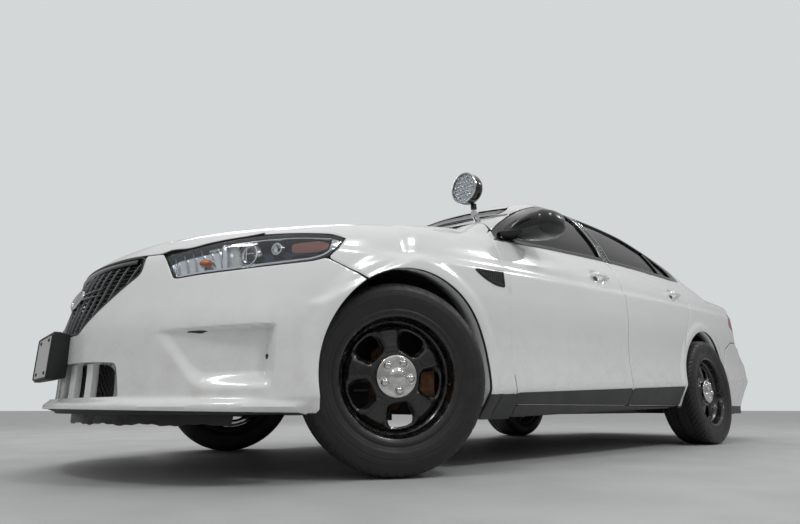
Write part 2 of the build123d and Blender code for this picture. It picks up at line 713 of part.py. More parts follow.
# Plate bracket
bracket = block(-155, 155, nose_t - plate_reach, nose_t + 60, plate_z - 87.5, plate_z + 87.5) - outer
keep("plate_bracket", bracket - plate_holes.part)
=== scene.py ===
"""White patrol saloon: its looks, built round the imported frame. Shapes are worked out in millimetres."""

import json
import math

import bmesh
import bpy
import numpy as np
from mathutils import Euler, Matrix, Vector

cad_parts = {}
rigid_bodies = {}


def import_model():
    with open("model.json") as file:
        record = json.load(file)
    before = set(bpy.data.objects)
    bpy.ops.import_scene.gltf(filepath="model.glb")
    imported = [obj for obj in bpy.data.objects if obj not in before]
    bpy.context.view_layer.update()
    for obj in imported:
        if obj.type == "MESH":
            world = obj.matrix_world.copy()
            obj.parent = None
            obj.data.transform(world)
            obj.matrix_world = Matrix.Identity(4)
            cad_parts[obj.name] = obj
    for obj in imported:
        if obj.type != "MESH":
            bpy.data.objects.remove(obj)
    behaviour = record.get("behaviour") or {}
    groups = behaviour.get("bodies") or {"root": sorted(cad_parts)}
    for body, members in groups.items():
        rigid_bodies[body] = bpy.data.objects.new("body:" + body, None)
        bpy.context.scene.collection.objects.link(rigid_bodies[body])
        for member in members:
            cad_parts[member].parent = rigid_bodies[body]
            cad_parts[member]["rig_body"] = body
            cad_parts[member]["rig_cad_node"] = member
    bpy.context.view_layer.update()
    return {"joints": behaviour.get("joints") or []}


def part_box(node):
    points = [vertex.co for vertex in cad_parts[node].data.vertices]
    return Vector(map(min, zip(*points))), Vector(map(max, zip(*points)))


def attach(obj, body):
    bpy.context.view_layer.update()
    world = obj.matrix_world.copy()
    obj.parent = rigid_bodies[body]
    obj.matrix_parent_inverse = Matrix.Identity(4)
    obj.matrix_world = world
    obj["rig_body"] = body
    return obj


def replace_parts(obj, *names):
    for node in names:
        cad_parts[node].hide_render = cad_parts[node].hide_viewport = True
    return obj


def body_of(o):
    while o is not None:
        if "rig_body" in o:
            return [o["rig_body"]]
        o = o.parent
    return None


bl_info = {
    "name": "Patrol saloon",
    "version": (1, 0, 0),
    "blender": (4, 5, 0),
    "location": "3D View > Sidebar > Patrol",
    "description": "Builds the paintwork, glass, lamps, wheels and trim of a patrol saloon round its frame",
    "category": "Object",
}

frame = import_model()
joints = {joint["name"]: joint for joint in frame["joints"]}

# Places along the car are t, in millimetres behind the front axle. These come from the frame's joints.
front_axle_y = joints["steer_left"]["pos_m"][1] * 1000
wheelbase = joints["wheel_rear_left_spin"]["pos_m"][1] * 1000 - front_axle_y
axle_height = joints["wheel_rear_left_spin"]["pos_m"][2] * 1000
half_width = 968.0
nose_t = -1065.0
tail_t = wheelbase + 1221.0
side_mid = wheelbase / 2
arch_front = 425.0
arch_rear = 430.0


# Curves and rounding

def smooth_step(low, high, value):
    """0 below low, 1 above high, and a smooth S between them."""
    share = np.clip((value - low) / (high - low), 0, 1)
    return share * share * (3 - 2 * share)


def soft_max(a, b, width):
    """The larger of two values, with a parabola across the crossing where they differ by less than width."""
    near = np.maximum(width - np.abs(a - b), 0) / width
    return np.maximum(a, b) + near * near * width / 4


def soft_min(a, b, width):
    """The smaller of two values, rounded like soft_max."""
    return -soft_max(-a, -b, width)


def eased_table(rows, blur=0.0, step=2.0):
    """A cubic through rows of (place, value) that never overshoots them, blurred over a distance.

    It gives two functions of place: the value, and the cosine of its slope."""
    places, values = np.array(rows, float).T
    gap = np.diff(places)
    slope = np.diff(values) / gap
    tangent = np.empty(len(places))
    tangent[0] = slope[0]
    tangent[-1] = slope[-1]
    before, after = slope[:-1], slope[1:]
    weight_a = gap[:-1] + 2 * gap[1:]
    weight_b = 2 * gap[:-1] + gap[1:]
    rising = before * after > 0
    safe_before = np.where(rising, before, 1)
    safe_after = np.where(rising, after, 1)
    harmonic = (weight_a + weight_b) / (weight_a / safe_before + weight_b / safe_after)
    tangent[1:-1] = np.where(rising, harmonic, 0)
    at = np.arange(places[0], places[-1] + step, step)
    index = np.clip(np.searchsorted(places, at, side="right") - 1, 0, len(gap) - 1)
    h = gap[index]
    s = np.clip((at - places[index]) / h, 0, 1)
    value = ((2 * s**3 - 3 * s**2 + 1) * values[index] + (s**3 - 2 * s**2 + s) * h * tangent[index]
             + (3 * s**2 - 2 * s**3) * values[index + 1] + (s**3 - s**2) * h * tangent[index + 1])
    if blur:
        reach = int(3 * blur / step)
        bell = np.exp(-0.5 * (np.arange(-reach, reach + 1) * step / blur) ** 2)
        ends = np.concatenate([value[0] + (value[0] - value[reach:0:-1]), value,
                               value[-1] + (value[-1] - value[-2:-reach - 2:-1])])
        value = np.convolve(ends, bell / bell.sum(), mode="valid")
    lean = 1 / np.sqrt(1 + np.gradient(value, step) ** 2)
    return (lambda place: np.interp(place, at, value)), (lambda place: np.interp(place, at, lean))


# Driving curves of the body. The side is (height, half width), the tops are (t, height), and the
# nose and tail are (height, t) on the centre line.
side_bow = 30000.0
rake = math.radians(2.3)
hood_crown = 6500.0
hood_crown_top = 1165.0
roof_crown = 5000.0
roof_top = 1542.0
nose_axis = nose_t + 1020.0
tail_axis = tail_t - 1500.0
windshield_axis = 2150.0
backlight_axis = 1190.0
side_rows = [(z, half_width + out) for z, out in [
    (-200, -108), (120, -108), (256, -63), (343, -20), (362, -12), (430, -16), (500, -19), (580, -16),
    (660, -8), (720, -2), (780, 1), (840, 1), (893, 0), (911, -11), (960, -21), (1010, -36), (1056, -57),
    (1102, -84), (1196, -121), (1290, -170), (1386, -232), (1480, -313), (1640, -380), (1900, -600)]]
low_top_rows = [(-1700, 400), (-1500, 520), (-1180, 705), (-985, 806), (-850, 858), (-700, 906), (-480, 957),
                (-250, 1010), (40, 1068), (330, 1118), (543, 1131), (1489, 1160), (2200, 1166), (3180, 1152),
                (tail_t - 320, 1146), (tail_t - 150, 1136), (tail_t - 60, 1139), (tail_t + 500, 1139)]
roof_rows = [(-200, 940), (600, 1300), (1020, 1480), (1200, 1516), (1480, 1541), (1700, 1541), (2000, 1524),
             (2330, 1486), (2700, 1405), (3300, 1180), (3800, 960)]
nose_rows = [(z, nose_t + back) for z, back in [
    (-300, 60), (120, 60), (216, 40), (238, 5), (258, 0), (268, 14), (280, 25), (350, 24), (430, 19),
    (505, 16), (640, 38), (790, 72), (1100, 200), (1700, 500)]]
tail_rows = [(z, tail_t - ahead) for z, ahead in [
    (-300, 90), (250, 90), (320, 40), (420, 4), (640, 0), (735, 12), (765, 60), (935, 88), (1105, 110),
    (1150, 92), (1700, 92)]]
windshield_rows = [(600, -600), (1100, 250), (1478, 1020), (1700, 1160), (2000, 1400)]
backlight_rows = [(600, 4100), (1000, 3500), (1150, 3190), (1487, 2330), (1700, 1900), (2000, 1500)]

side_at, side_lean = eased_table(side_rows, 5)
low_top_at, low_top_lean = eased_table(low_top_rows, 16)
roof_at, roof_lean = eased_table(roof_rows, 30)
nose_at, nose_lean = eased_table(nose_rows, 6)
tail_at, tail_lean = eased_table(tail_rows, 6)
windshield_at, windshield_lean = eased_table(windshield_rows, 8)
backlight_at, backlight_lean = eased_table(backlight_rows, 8)

# How softly each pair of surfaces meets
side_to_top = 56
nose_edge = 80
tail_edge = 46
roof_edge = 46
windshield_edge = 26
backlight_edge = 34
cabin_foot = 10


def arch_lip(t, z, axle_t, radius):
    """A flat lip round a wheel opening that eases back into the side over a hand's breadth."""
    out = np.hypot(t - axle_t, z - axle_height) - radius
    return 9.0 * (1 - smooth_step(30, 74, out)) * smooth_step(-60, -30, out)


def hood_dome(x, t):
    """The hood's raised middle: 8 mm high between two lines that spread to the rear, faded at both ends."""
    ridge = 430 + (t + 900) * 0.175
    fade = smooth_step(-1010, -800, t) * (1 - smooth_step(150, 330, t))
    return 8.0 * (1 - smooth_step(-60, 18, x - ridge)) * fade


def crowned(x, z, radius, top):
    """A point's height brought to the middle of the car, along a crown of a radius whose top is given."""
    return np.hypot(x, z - (top - radius)) + (top - radius)


def swept_round(x, ahead, flare):
    """Distance from an upright axis on the centre line, or past the axis a share of x less the way past."""
    return np.where(ahead > 0, np.hypot(x, ahead), x * flare + ahead)


def body(x, t, z):
    """How far a point stands outside the painted body, in millimetres; negative inside.

    The side is a section bowed round an upright axis and raked up to the rear. The hood, deck and roof are
    side lines crowned across the car, and nose, tail and screens are side lines swept round upright axes.
    The low body is the soft largest of its bounds, so is the cabin, and the whole is the soft least of
    both."""
    x = np.abs(x)
    along = (t - side_mid) * math.cos(rake) + z * math.sin(rake)
    up = z * math.cos(rake) - (t - side_mid) * math.sin(rake)
    across = np.hypot(x + side_bow - half_width, along) - (side_bow - half_width)
    side = (across - side_at(up)) * side_lean(up)
    low = (crowned(x, z, hood_crown, hood_crown_top) - low_top_at(t) - hood_dome(x, t)) * low_top_lean(t)
    roof = (crowned(x, z, roof_crown, roof_top) - roof_at(t)) * roof_lean(t)
    nose = (nose_at(z) - nose_axis + swept_round(x, nose_axis - t, 1.0)) * nose_lean(z)
    tail = (tail_axis + swept_round(x, t - tail_axis, 0.5) - tail_at(z)) * tail_lean(z)
    windshield = swept_round(x, windshield_axis - t, 0.2) - windshield_axis
    windshield = (windshield_at(z) + windshield) * windshield_lean(z)
    backlight = backlight_axis + swept_round(x, t - backlight_axis, 0.2)
    backlight = (backlight - backlight_at(z)) * backlight_lean(z)
    low = soft_max(soft_max(soft_max(side, low, side_to_top), nose, nose_edge), tail, tail_edge)
    cabin = soft_max(soft_max(side, roof, roof_edge), windshield, windshield_edge)
    cabin = soft_max(cabin, backlight, backlight_edge)
    whole = soft_min(low, cabin, cabin_foot)
    lips = arch_lip(t, z, 0.0, arch_front) + arch_lip(t, z, wheelbase, arch_rear)
    return whole - lips * smooth_step(700, 800, x)


def slope(points, shape=body):
    """The outward unit normal of a shape at each point, by central differences."""
    out = np.empty_like(points)
    for axis in range(3):
        step = np.zeros(3)
        step[axis] = 1.5
        out[:, axis] = shape(*(points + step).T) - shape(*(points - step).T)
    return out / np.linalg.norm(out, axis=1, keepdims=True)


def meet(origin, direction, near, far, shape=body):
    """Where each ray leaves a shape, by halving the span between a place inside it and one outside."""
    near = np.full(len(origin), float(near))
    far = np.full(len(origin), float(far))
    for _ in range(22):
        middle = (near + far) / 2
        outside = shape(*(origin + direction * middle[:, None]).T) > 0
        far = np.where(outside, middle, far)
        near = np.where(outside, near, middle)
    return origin + direction * near[:, None]


# Views. A panel is laid out flat in one of them, and rays carry its flat points to the body.
girth_height = 600.0
girth_scale = 900.0
arc_scale = 1000.0
lid_axis_t = 3500.0
lid_axis_z = 700.0
lid_scale = 500.0


def girth_rays(flat):
    """Flat (t, girth) points: rays in the section at t, out of the middle of the car."""
    angle = flat[:, 1] / girth_scale
    zero = np.zeros(len(flat))
    origin = np.column_stack([zero, flat[:, 0], zero + girth_height])
    return origin, np.column_stack([np.cos(angle), zero, np.sin(angle)])


def girth_flat(points):
    """Points as (t, girth)."""
    angle = np.arctan2(points[:, 2] - girth_height, points[:, 0])
    return np.column_stack([points[:, 1], girth_scale * angle])


def swept_view(axis_t, way):
    """A view of a face swept round an upright axis, as its rays and its flattening.

    Flat points are (arc, height), and the rays are level ones out of the axis, rearward for way 1 and forward
    for way -1."""

    def rays(flat):
        angle = flat[:, 0] / arc_scale
        zero = np.zeros(len(flat))
        origin = np.column_stack([zero, zero + axis_t, flat[:, 1]])
        return origin, np.column_stack([np.sin(angle), way * np.cos(angle), zero])

    def flatten(points):
        angle = np.arctan2(points[:, 0], way * (points[:, 1] - axis_t))
        return np.column_stack([arc_scale * angle, points[:, 2]])

    return rays, flatten


nose_rays, nose_flat = swept_view(nose_axis, -1)
tail_rays, tail_flat = swept_view(tail_axis, 1)


def plan_rays(flat):
    """Flat (x, t) points: rays straight up."""
    zero = np.zeros(len(flat))
    origin = np.column_stack([flat[:, 0], flat[:, 1], zero + 500])
    return origin, np.column_stack([zero, zero, zero + 1])


def plan_flat(points):
    """Points as (x, t)."""
    return points[:, :2].copy()


def lid_rays(flat):
    """Flat (x, arc) points: rays in the section at x, out of an axis across the trunk."""
    angle = flat[:, 1] / lid_scale
    zero = np.zeros(len(flat))
    origin = np.column_stack([flat[:, 0], zero + lid_axis_t, zero + lid_axis_z])
    return origin, np.column_stack([zero, np.sin(angle), np.cos(angle)])


def lid_flat(points):
    """Points as (x, arc)."""
    angle = np.arctan2(points[:, 1] - lid_axis_t, points[:, 2] - lid_axis_z)
    return np.column_stack([points[:, 0], lid_scale * angle])


# Each view's rays, its flattening, and how far along a ray the body's surface may lie
views = {"girth": (girth_rays, girth_flat, 200, 1300), "nose": (nose_rays, nose_flat, 300, 1300),
         "tail": (tail_rays, tail_flat, 400, 1700), "plan": (plan_rays, plan_flat, 0, 1300),
         "lid": (lid_rays, lid_flat, 60, 900)}


def on_view(view, flat):
    """Flat points of a view carried onto the body."""
    rays, _, near, far = views[view]
    return meet(*rays(flat), near, far)


# Outlines

def rounded(rows, sharp=30.0, gentle=900.0, step=7.0, closed=True):
    """An outline with a parabola at each corner, as even points a step apart.

    A corner that turns over 38 degrees gets the sharp radius, and others the gentle one, as far as its
    two sides allow."""
    rows = np.array(rows, float)
    count = len(rows)
    path = []
    for i in range(count):
        corner = rows[i]
        if not closed and i in (0, count - 1):
            path.append(corner[None])
            continue
        back = rows[i - 1] - corner
        ahead = rows[(i + 1) % count] - corner
        back_length = np.linalg.norm(back)
        ahead_length = np.linalg.norm(ahead)
        cosine = -np.dot(back, ahead) / (back_length * ahead_length)
        turn = math.acos(max(-1.0, min(1.0, cosine)))
        radius = sharp if turn > math.radians(38) else gentle
        cut = min(radius * math.tan(turn / 2) + 0.01, 0.48 * back_length, 0.48 * ahead_length)
        start = corner + back / back_length * cut
        end = corner + ahead / ahead_length * cut
        s = np.linspace(0, 1, 9)[:, None]
        path.append((1 - s) ** 2 * start + 2 * s * (1 - s) * corner + s * s * end)
    path = np.concatenate(path)
    if closed:
        path = np.concatenate([path, path[:1]])
    run = np.concatenate([[0], np.cumsum(np.linalg.norm(np.diff(path, axis=0), axis=1))])
    places = np.linspace(0, run[-1], max(int(run[-1] / step), 8) + 1)
    if closed:
        places = places[:-1]
    return np.column_stack([np.interp(places, run, path[:, 0]), np.interp(places, run, path[:, 1])])


def on_side(path, shape=body):
    """Points of the left side above a side-view path of (t, z)."""
    zero = np.zeros(len(path))
    origin = np.column_stack([zero, path[:, 0], path[:, 1]])
    return meet(origin, np.array([[1.0, 0, 0]]), 0, 1150, shape)


def on_top(path, shape=body):
    """Points of the top above a plan path of (x, t)."""
    zero = np.zeros(len(path))
    origin = np.column_stack([path[:, 0], path[:, 1], zero + 500])
    return meet(origin, np.array([[0, 0, 1.0]]), 0, 1200, shape)


def on_front(path, shape=body):
    """Points of the nose ahead of a front-view path of (x, z)."""
    zero = np.zeros(len(path))
    origin = np.column_stack([path[:, 0], zero + np.where(path[:, 1] > 1105, 1150, 700), path[:, 1]])
    return meet(origin, np.array([[0, -1.0, 0]]), 0, 2200, shape)


def on_back(path, shape=body):
    """Points of the tail behind a rear-view path of (x, z)."""
    zero = np.zeros(len(path))
    origin = np.column_stack([path[:, 0], zero + 2400, path[:, 1]])
    return meet(origin, np.array([[0, 1.0, 0]]), 0, 2200, shape)


# Panels

def boundary_reach(points, loops):
    """Signed distance of flat points to closed loops, positive between the first and the others, and the
    nearest place on them."""
    starts = np.concatenate(loops)
    ends = np.concatenate([np.roll(loop, -1, axis=0) for loop in loops])
    edge = ends - starts
    square = np.maximum((edge ** 2).sum(1), 1e-12)
    inside = np.zeros(len(points), bool)
    reach = np.empty(len(points))
    place = np.empty_like(points)
    for first in range(0, len(points), 4000):
        part = slice(first, first + 4000)
        p = points[part][:, None, :]
        share = np.clip(((p - starts) * edge).sum(2) / square, 0, 1)
        near = starts + share[..., None] * edge
        gap = ((p - near) ** 2).sum(2)
        best = gap.argmin(1)
        rows = np.arange(len(best))
        reach[part] = np.sqrt(gap[rows, best])
        place[part] = near[rows, best]
        above = (starts[:, 1] > p[..., 1]) != (ends[:, 1] > p[..., 1])
        rise = np.where(np.abs(edge[:, 1]) < 1e-12, 1e-12, edge[:, 1])
        cross = starts[:, 0] + (p[..., 1] - starts[:, 1]) * edge[:, 0] / rise
        inside[part] = (above & (p[..., 0] < cross)).sum(1) % 2 == 1
    return np.where(inside, reach, -reach), place


def cut_lattice(loops, spacing):
    """A flat lattice cut to closed loops. Points near a loop are moved onto it, whole cells inside stay
    four-sided, and cells that a loop crosses are cut along it."""
    def turned_rows(rows, first):
        """Each triangle's corners, turned so that one of them comes first."""
        order = (np.arange(3)[None] + first[:, None]) % 3
        return np.take_along_axis(rows, order, axis=1)

    low = np.min([loop.min(0) for loop in loops], axis=0)
    high = np.max([loop.max(0) for loop in loops], axis=0)
    size = np.maximum(np.ceil((high - low) / spacing).astype(int), 2) + 3
    step = (high - low) / (size - 3)
    u = low[0] + (np.arange(size[0]) - 1) * step[0]
    v = low[1] + (np.arange(size[1]) - 1) * step[1]
    points = np.stack(np.meshgrid(u, v, indexing="ij"), axis=2).reshape(-1, 2)
    reach, place = boundary_reach(points, loops)
    close = np.abs(reach) < 0.33 * min(step)
    points[close] = place[close]
    reach[close] = 0
    index = np.arange(len(points)).reshape(size)
    cells = np.stack([index[:-1, :-1], index[1:, :-1], index[1:, 1:], index[:-1, 1:]], axis=2).reshape(-1, 4)
    state = np.sign(reach[cells])
    whole = (state >= 0).all(1) & (state > 0).any(1)
    crossed = (state > 0).any(1) & (state < 0).any(1)
    pieces = np.concatenate([cells[crossed][:, [0, 1, 2]], cells[crossed][:, [0, 2, 3]]])
    state = np.sign(reach[pieces])
    plus = (state > 0).sum(1)
    minus = (state < 0).sum(1)
    one = (plus == 1) & (minus > 0)
    rows = turned_rows(pieces[one], (state[one] > 0).argmax(1))
    two = (plus == 2) & (minus == 1)
    pair = turned_rows(pieces[two], (state[two] < 0).argmax(1))
    edges = np.concatenate([rows[:, [0, 1]], rows[:, [0, 2]], pair[:, [0, 1]], pair[:, [0, 2]]])
    kept = reach[edges[:, 1]] == 0
    ordered = np.sort(edges, axis=1)
    keys, back = np.unique(ordered, axis=0, return_inverse=True)
    back = back.reshape(-1)
    start, end = keys.T
    gap = np.abs(reach[start]) + np.abs(reach[end])
    share = (np.abs(reach[start]) / np.maximum(gap, 1e-9))[:, None]
    new_points = points[start] * (1 - share) + points[end] * share
    _, new_points = boundary_reach(new_points, loops)
    new_index = len(points) + back
    new_index = np.where(kept & (np.arange(len(edges)) < 2 * len(rows)), edges[:, 1], new_index)
    n = len(rows)
    m = len(pair)
    corners = np.column_stack([rows[:, 0], new_index[:n], new_index[n:2 * n]])
    ends = np.column_stack([new_index[2 * n:2 * n + m], pair[:, 1], pair[:, 2], new_index[2 * n + m:]])
    points = np.concatenate([points, new_points])
    quads = np.concatenate([cells[whole], ends])
    tris = np.concatenate([pieces[(minus == 0) & (plus > 0)], corners])
    used, numbers = np.unique(np.concatenate([quads.ravel(), tris.ravel()]), return_inverse=True)
    numbers = numbers.reshape(-1)
    return points[used], numbers[:quads.size].reshape(-1, 4), numbers[quads.size:].reshape(-1, 3)


def boundary_edges(quads, tris):
    """Directed edges that only one face uses, with the face on their left."""
    sides = np.concatenate([quads[:, [0, 1]], quads[:, [1, 2]], quads[:, [2, 3]], quads[:, [3, 0]],
                            tris[:, [0, 1]], tris[:, [1, 2]], tris[:, [2, 0]]])
    big = sides.max() + 1
    forward = sides[:, 0] * big + sides[:, 1]
    backward = sides[:, 1] * big + sides[:, 0]
    return sides[~np.isin(forward, backward)]


def hemmed(points, normals, quads, tris, thick, grow=2.0):
    """A closed panel: its outer face, a rounded hem that grows the outline a little, and an inner face
    thick below the outer one."""
    border = boundary_edges(quads, tris)
    last = len(points)
    ahead = np.zeros(last, int)
    behind = np.zeros(last, int)
    ahead[border[:, 0]] = border[:, 1]
    behind[border[:, 1]] = border[:, 0]
    rim = np.unique(border)
    along = points[ahead[rim]] - points[behind[rim]]
    away = np.cross(along, normals[rim])
    away /= np.maximum(np.linalg.norm(away, axis=1, keepdims=True), 1e-9)
    rings = [(0.45 * grow, 0.12 * grow), (0.85 * grow, 0.5 * grow), (grow, 1.2 * grow), (grow, thick)]
    place = np.zeros(last, int)
    place[rim] = np.arange(len(rim))
    stack = [points]
    faces = [quads]
    lower = border
    for number, (shift, depth) in enumerate(rings):
        stack.append(points[rim] + away * shift - normals[rim] * depth)
        upper = last + number * len(rim) + place[border]
        faces.append(np.column_stack([lower[:, 1], lower[:, 0], upper[:, 0], upper[:, 1]]))
        lower = upper
    inner = last + len(rings) * len(rim)
    stack.append(points - normals * thick)
    faces.append(np.column_stack([lower[:, 1], lower[:, 0], inner + border[:, 0], inner + border[:, 1]]))
    faces.append(inner + quads[:, ::-1])
    return np.concatenate(stack), np.concatenate(faces), np.concatenate([tris, inner + tris[:, ::-1]])


def warp(bands):
    """A stretch of one flat axis that makes the lattice finer in bands of (low, high, times finer)."""
    at = np.arange(-3000.0, 6000.0, 5.0)
    rate = np.ones(len(at))
    for low, high, times in bands:
        rate += (times - 1) * smooth_step(low - 40, low, at) * (1 - smooth_step(high, high + 40, at))
    total = np.cumsum(rate) * 5.0
    return at, total


def panel(view, loops, spacing, thick=14.0, grow=2.0, shape=body, lift=0.0, bands=((), ())):
    """A body panel inside loops of points on the body, as points and faces in millimetres.

    The loops are flattened in a view, a lattice is cut to them there, finer in some bands, and rays carry
    it back."""
    rays, flatten, near, far = views[view]
    flat_loops = [flatten(loop) for loop in loops]
    warps = [warp(band) for band in bands]
    bent = [np.column_stack([np.interp(loop[:, i], *warps[i]) for i in (0, 1)]) for loop in flat_loops]
    flat, quads, tris = cut_lattice(bent, np.array(spacing, float))
    flat = np.column_stack([np.interp(flat[:, i], *warps[i][::-1]) for i in (0, 1)])
    points = meet(*rays(flat), near, far, shape)
    normals = slope(points, shape)
    face = np.concatenate([quads[:, :3], tris])[:400]
    turn = np.cross(points[face[:, 1]] - points[face[:, 0]], points[face[:, 2]] - points[face[:, 0]])
    if (turn * normals[face[:, 0]]).sum() < 0:
        quads = quads[:, ::-1]
        tris = tris[:, ::-1]
    points = points + normals * lift
    if not thick:
        return points, quads, tris
    return hemmed(points, normals, quads, tris, thick, grow)


# Meshes

def to_row(points):
    """Millimetres behind the front axle to metres in the frame's own axes."""
    out = np.array(points, float)
    out[:, 1] += front_axle_y
    return out / 1000


# The finish made for each slot, filled by the finishes operator
finishes = {}


def mesh_piece(name, part, kind, body_name="body", mirrored=False, smooth=40, weld=False):
    """A mesh object from (points, quads, tris) in millimetres, with a finish, riding on a body.

    It is smooth but for turns over an angle in degrees. A welded piece is a closed shell whose doubles are
    merged and whose faces are then turned outward."""
    points = np.array(part[0], float)
    faces = [face[::-1] if mirrored else face for rows in part[1:] for face in np.asarray(rows, int).tolist()]
    if mirrored:
        points = points * [-1, 1, 1]
    mesh = bpy.data.meshes.new(name)
    mesh.from_pydata(to_row(points).tolist(), [], faces)
    if weld:
        shell = bmesh.new()
        shell.from_mesh(mesh)
        bmesh.ops.remove_doubles(shell, verts=shell.verts, dist=2e-6)
        bmesh.ops.recalc_face_normals(shell, faces=shell.faces)
        shell.to_mesh(mesh)
        shell.free()
    mesh.validate()
    mesh.shade_smooth()
    mesh.set_sharp_from_angle(angle=math.radians(smooth))
    piece = bpy.data.objects.new(name, mesh)
    bpy.context.scene.collection.objects.link(piece)
    mesh.materials.append(finishes[kind])
    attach(piece, body_name)
    return piece


def both_pieces(name, part, kind, body_name="body", smooth=40, weld=False):
    """A part on the left and its mirror image on the right. LR in a body's name stands for the side."""
    return [mesh_piece(f"{name}_{word}", part, kind, body_name.replace("LR", word), word == "right", smooth,
                       weld)
            for word in ("left", "right")]


def joined(*parts):
    """Several (points, quads, tris) parts as one."""
    points, quads, tris = [], [], []
    count = 0
    for part_points, part_quads, part_tris in parts:
        points.append(part_points)
        quads.append(np.asarray(part_quads, int).reshape(-1, 4) + count)
        tris.append(np.asarray(part_tris, int).reshape(-1, 3) + count)
        count += len(part_points)
    return np.concatenate(points), np.concatenate(quads), np.concatenate(tris)


# Finishes

def linear(colour):
    """An sRGB hex colour as linear RGBA. A colour from the properties is linear already."""
    if not isinstance(colour, str):
        return list(colour)[:3] + [1.0]
    channels = [int(colour[i:i + 2], 16) / 255 for i in (1, 3, 5)]
    return [c / 12.92 if c <= 0.04045 else ((c + 0.055) / 1.055) ** 2.4 for c in channels] + [1.0]


def add(tree, kind, inputs=None, **settings):
    """A node with its settings. An input is a value, or another node's output to link."""
    new = tree.nodes.new(kind)
    for name, value in settings.items():
        setattr(new, name, value)
    for name, value in (inputs or {}).items():
        if isinstance(value, bpy.types.NodeSocket):
            tree.links.new(value, new.inputs[name])
        else:
            new.inputs[name].default_value = value
    return new


def finish(name, colour, roughness, grain=None, wear=None, heights=None, inputs=None):
    """A material with one Principled shader, whose other inputs are given by name.

    grain is (size, detail, depth): a bump of noise with spots of a size in millimetres, its depth in metres.
    wear is (size, detail, low, high, most, colour, roughness): where noise rises between two levels, up to a
    most, the colour turns to a second one and the roughness to another. heights is (clean, worn), in metres
    above the floor, between which the wear grows."""
    material = bpy.data.materials.new(name)
    material.use_nodes = True
    tree = material.node_tree
    tree.nodes.clear()
    place = add(tree, "ShaderNodeTexCoord").outputs["Object"]
    values = {"Base Color": linear(colour), "Roughness": roughness, **(inputs or {})}
    if wear:
        size, detail, low, high, most, worn_colour, worn_roughness = wear
        noise = add(tree, "ShaderNodeTexNoise", {"Vector": place, "Scale": 1000 / size, "Detail": detail})
        share = add(tree, "ShaderNodeMapRange", {"Value": noise.outputs["Fac"], "From Min": low,
                                                 "From Max": high,
                                                 "To Max": most}).outputs["Result"]
        if heights:
            height = add(tree, "ShaderNodeSeparateXYZ", {"Vector": place}).outputs["Z"]
            film = add(tree, "ShaderNodeMapRange", {"Value": height, "From Min": heights[0],
                                                    "From Max": heights[1]})
            share = add(tree, "ShaderNodeMath", {0: film.outputs["Result"], 1: share},
                        operation="MULTIPLY").outputs["Value"]
        mix = add(tree, "ShaderNodeMix", {"Factor": share, 6: linear(colour), 7: linear(worn_colour)},
                  data_type="RGBA")
        values["Base Color"] = mix.outputs[2]
        if worn_roughness != roughness:
            rough = add(tree, "ShaderNodeMapRange", {"Value": share, "From Max": most, "To Min": roughness,
                                                     "To Max": worn_roughness})
            values["Roughness"] = rough.outputs["Result"]
    if grain:
        size, detail, depth = grain
        noise = add(tree, "ShaderNodeTexNoise", {"Vector": place, "Scale": 1000 / size, "Detail": detail})
        bump = add(tree, "ShaderNodeBump", {"Height": noise.outputs["Fac"], "Distance": depth,
                                            "Strength": 1.0})
        values["Normal"] = bump.outputs["Normal"]
    surface = add(tree, "ShaderNodeBsdfPrincipled", values)
    add(tree, "ShaderNodeOutputMaterial", {"Surface": surface.outputs["BSDF"]})
    return material


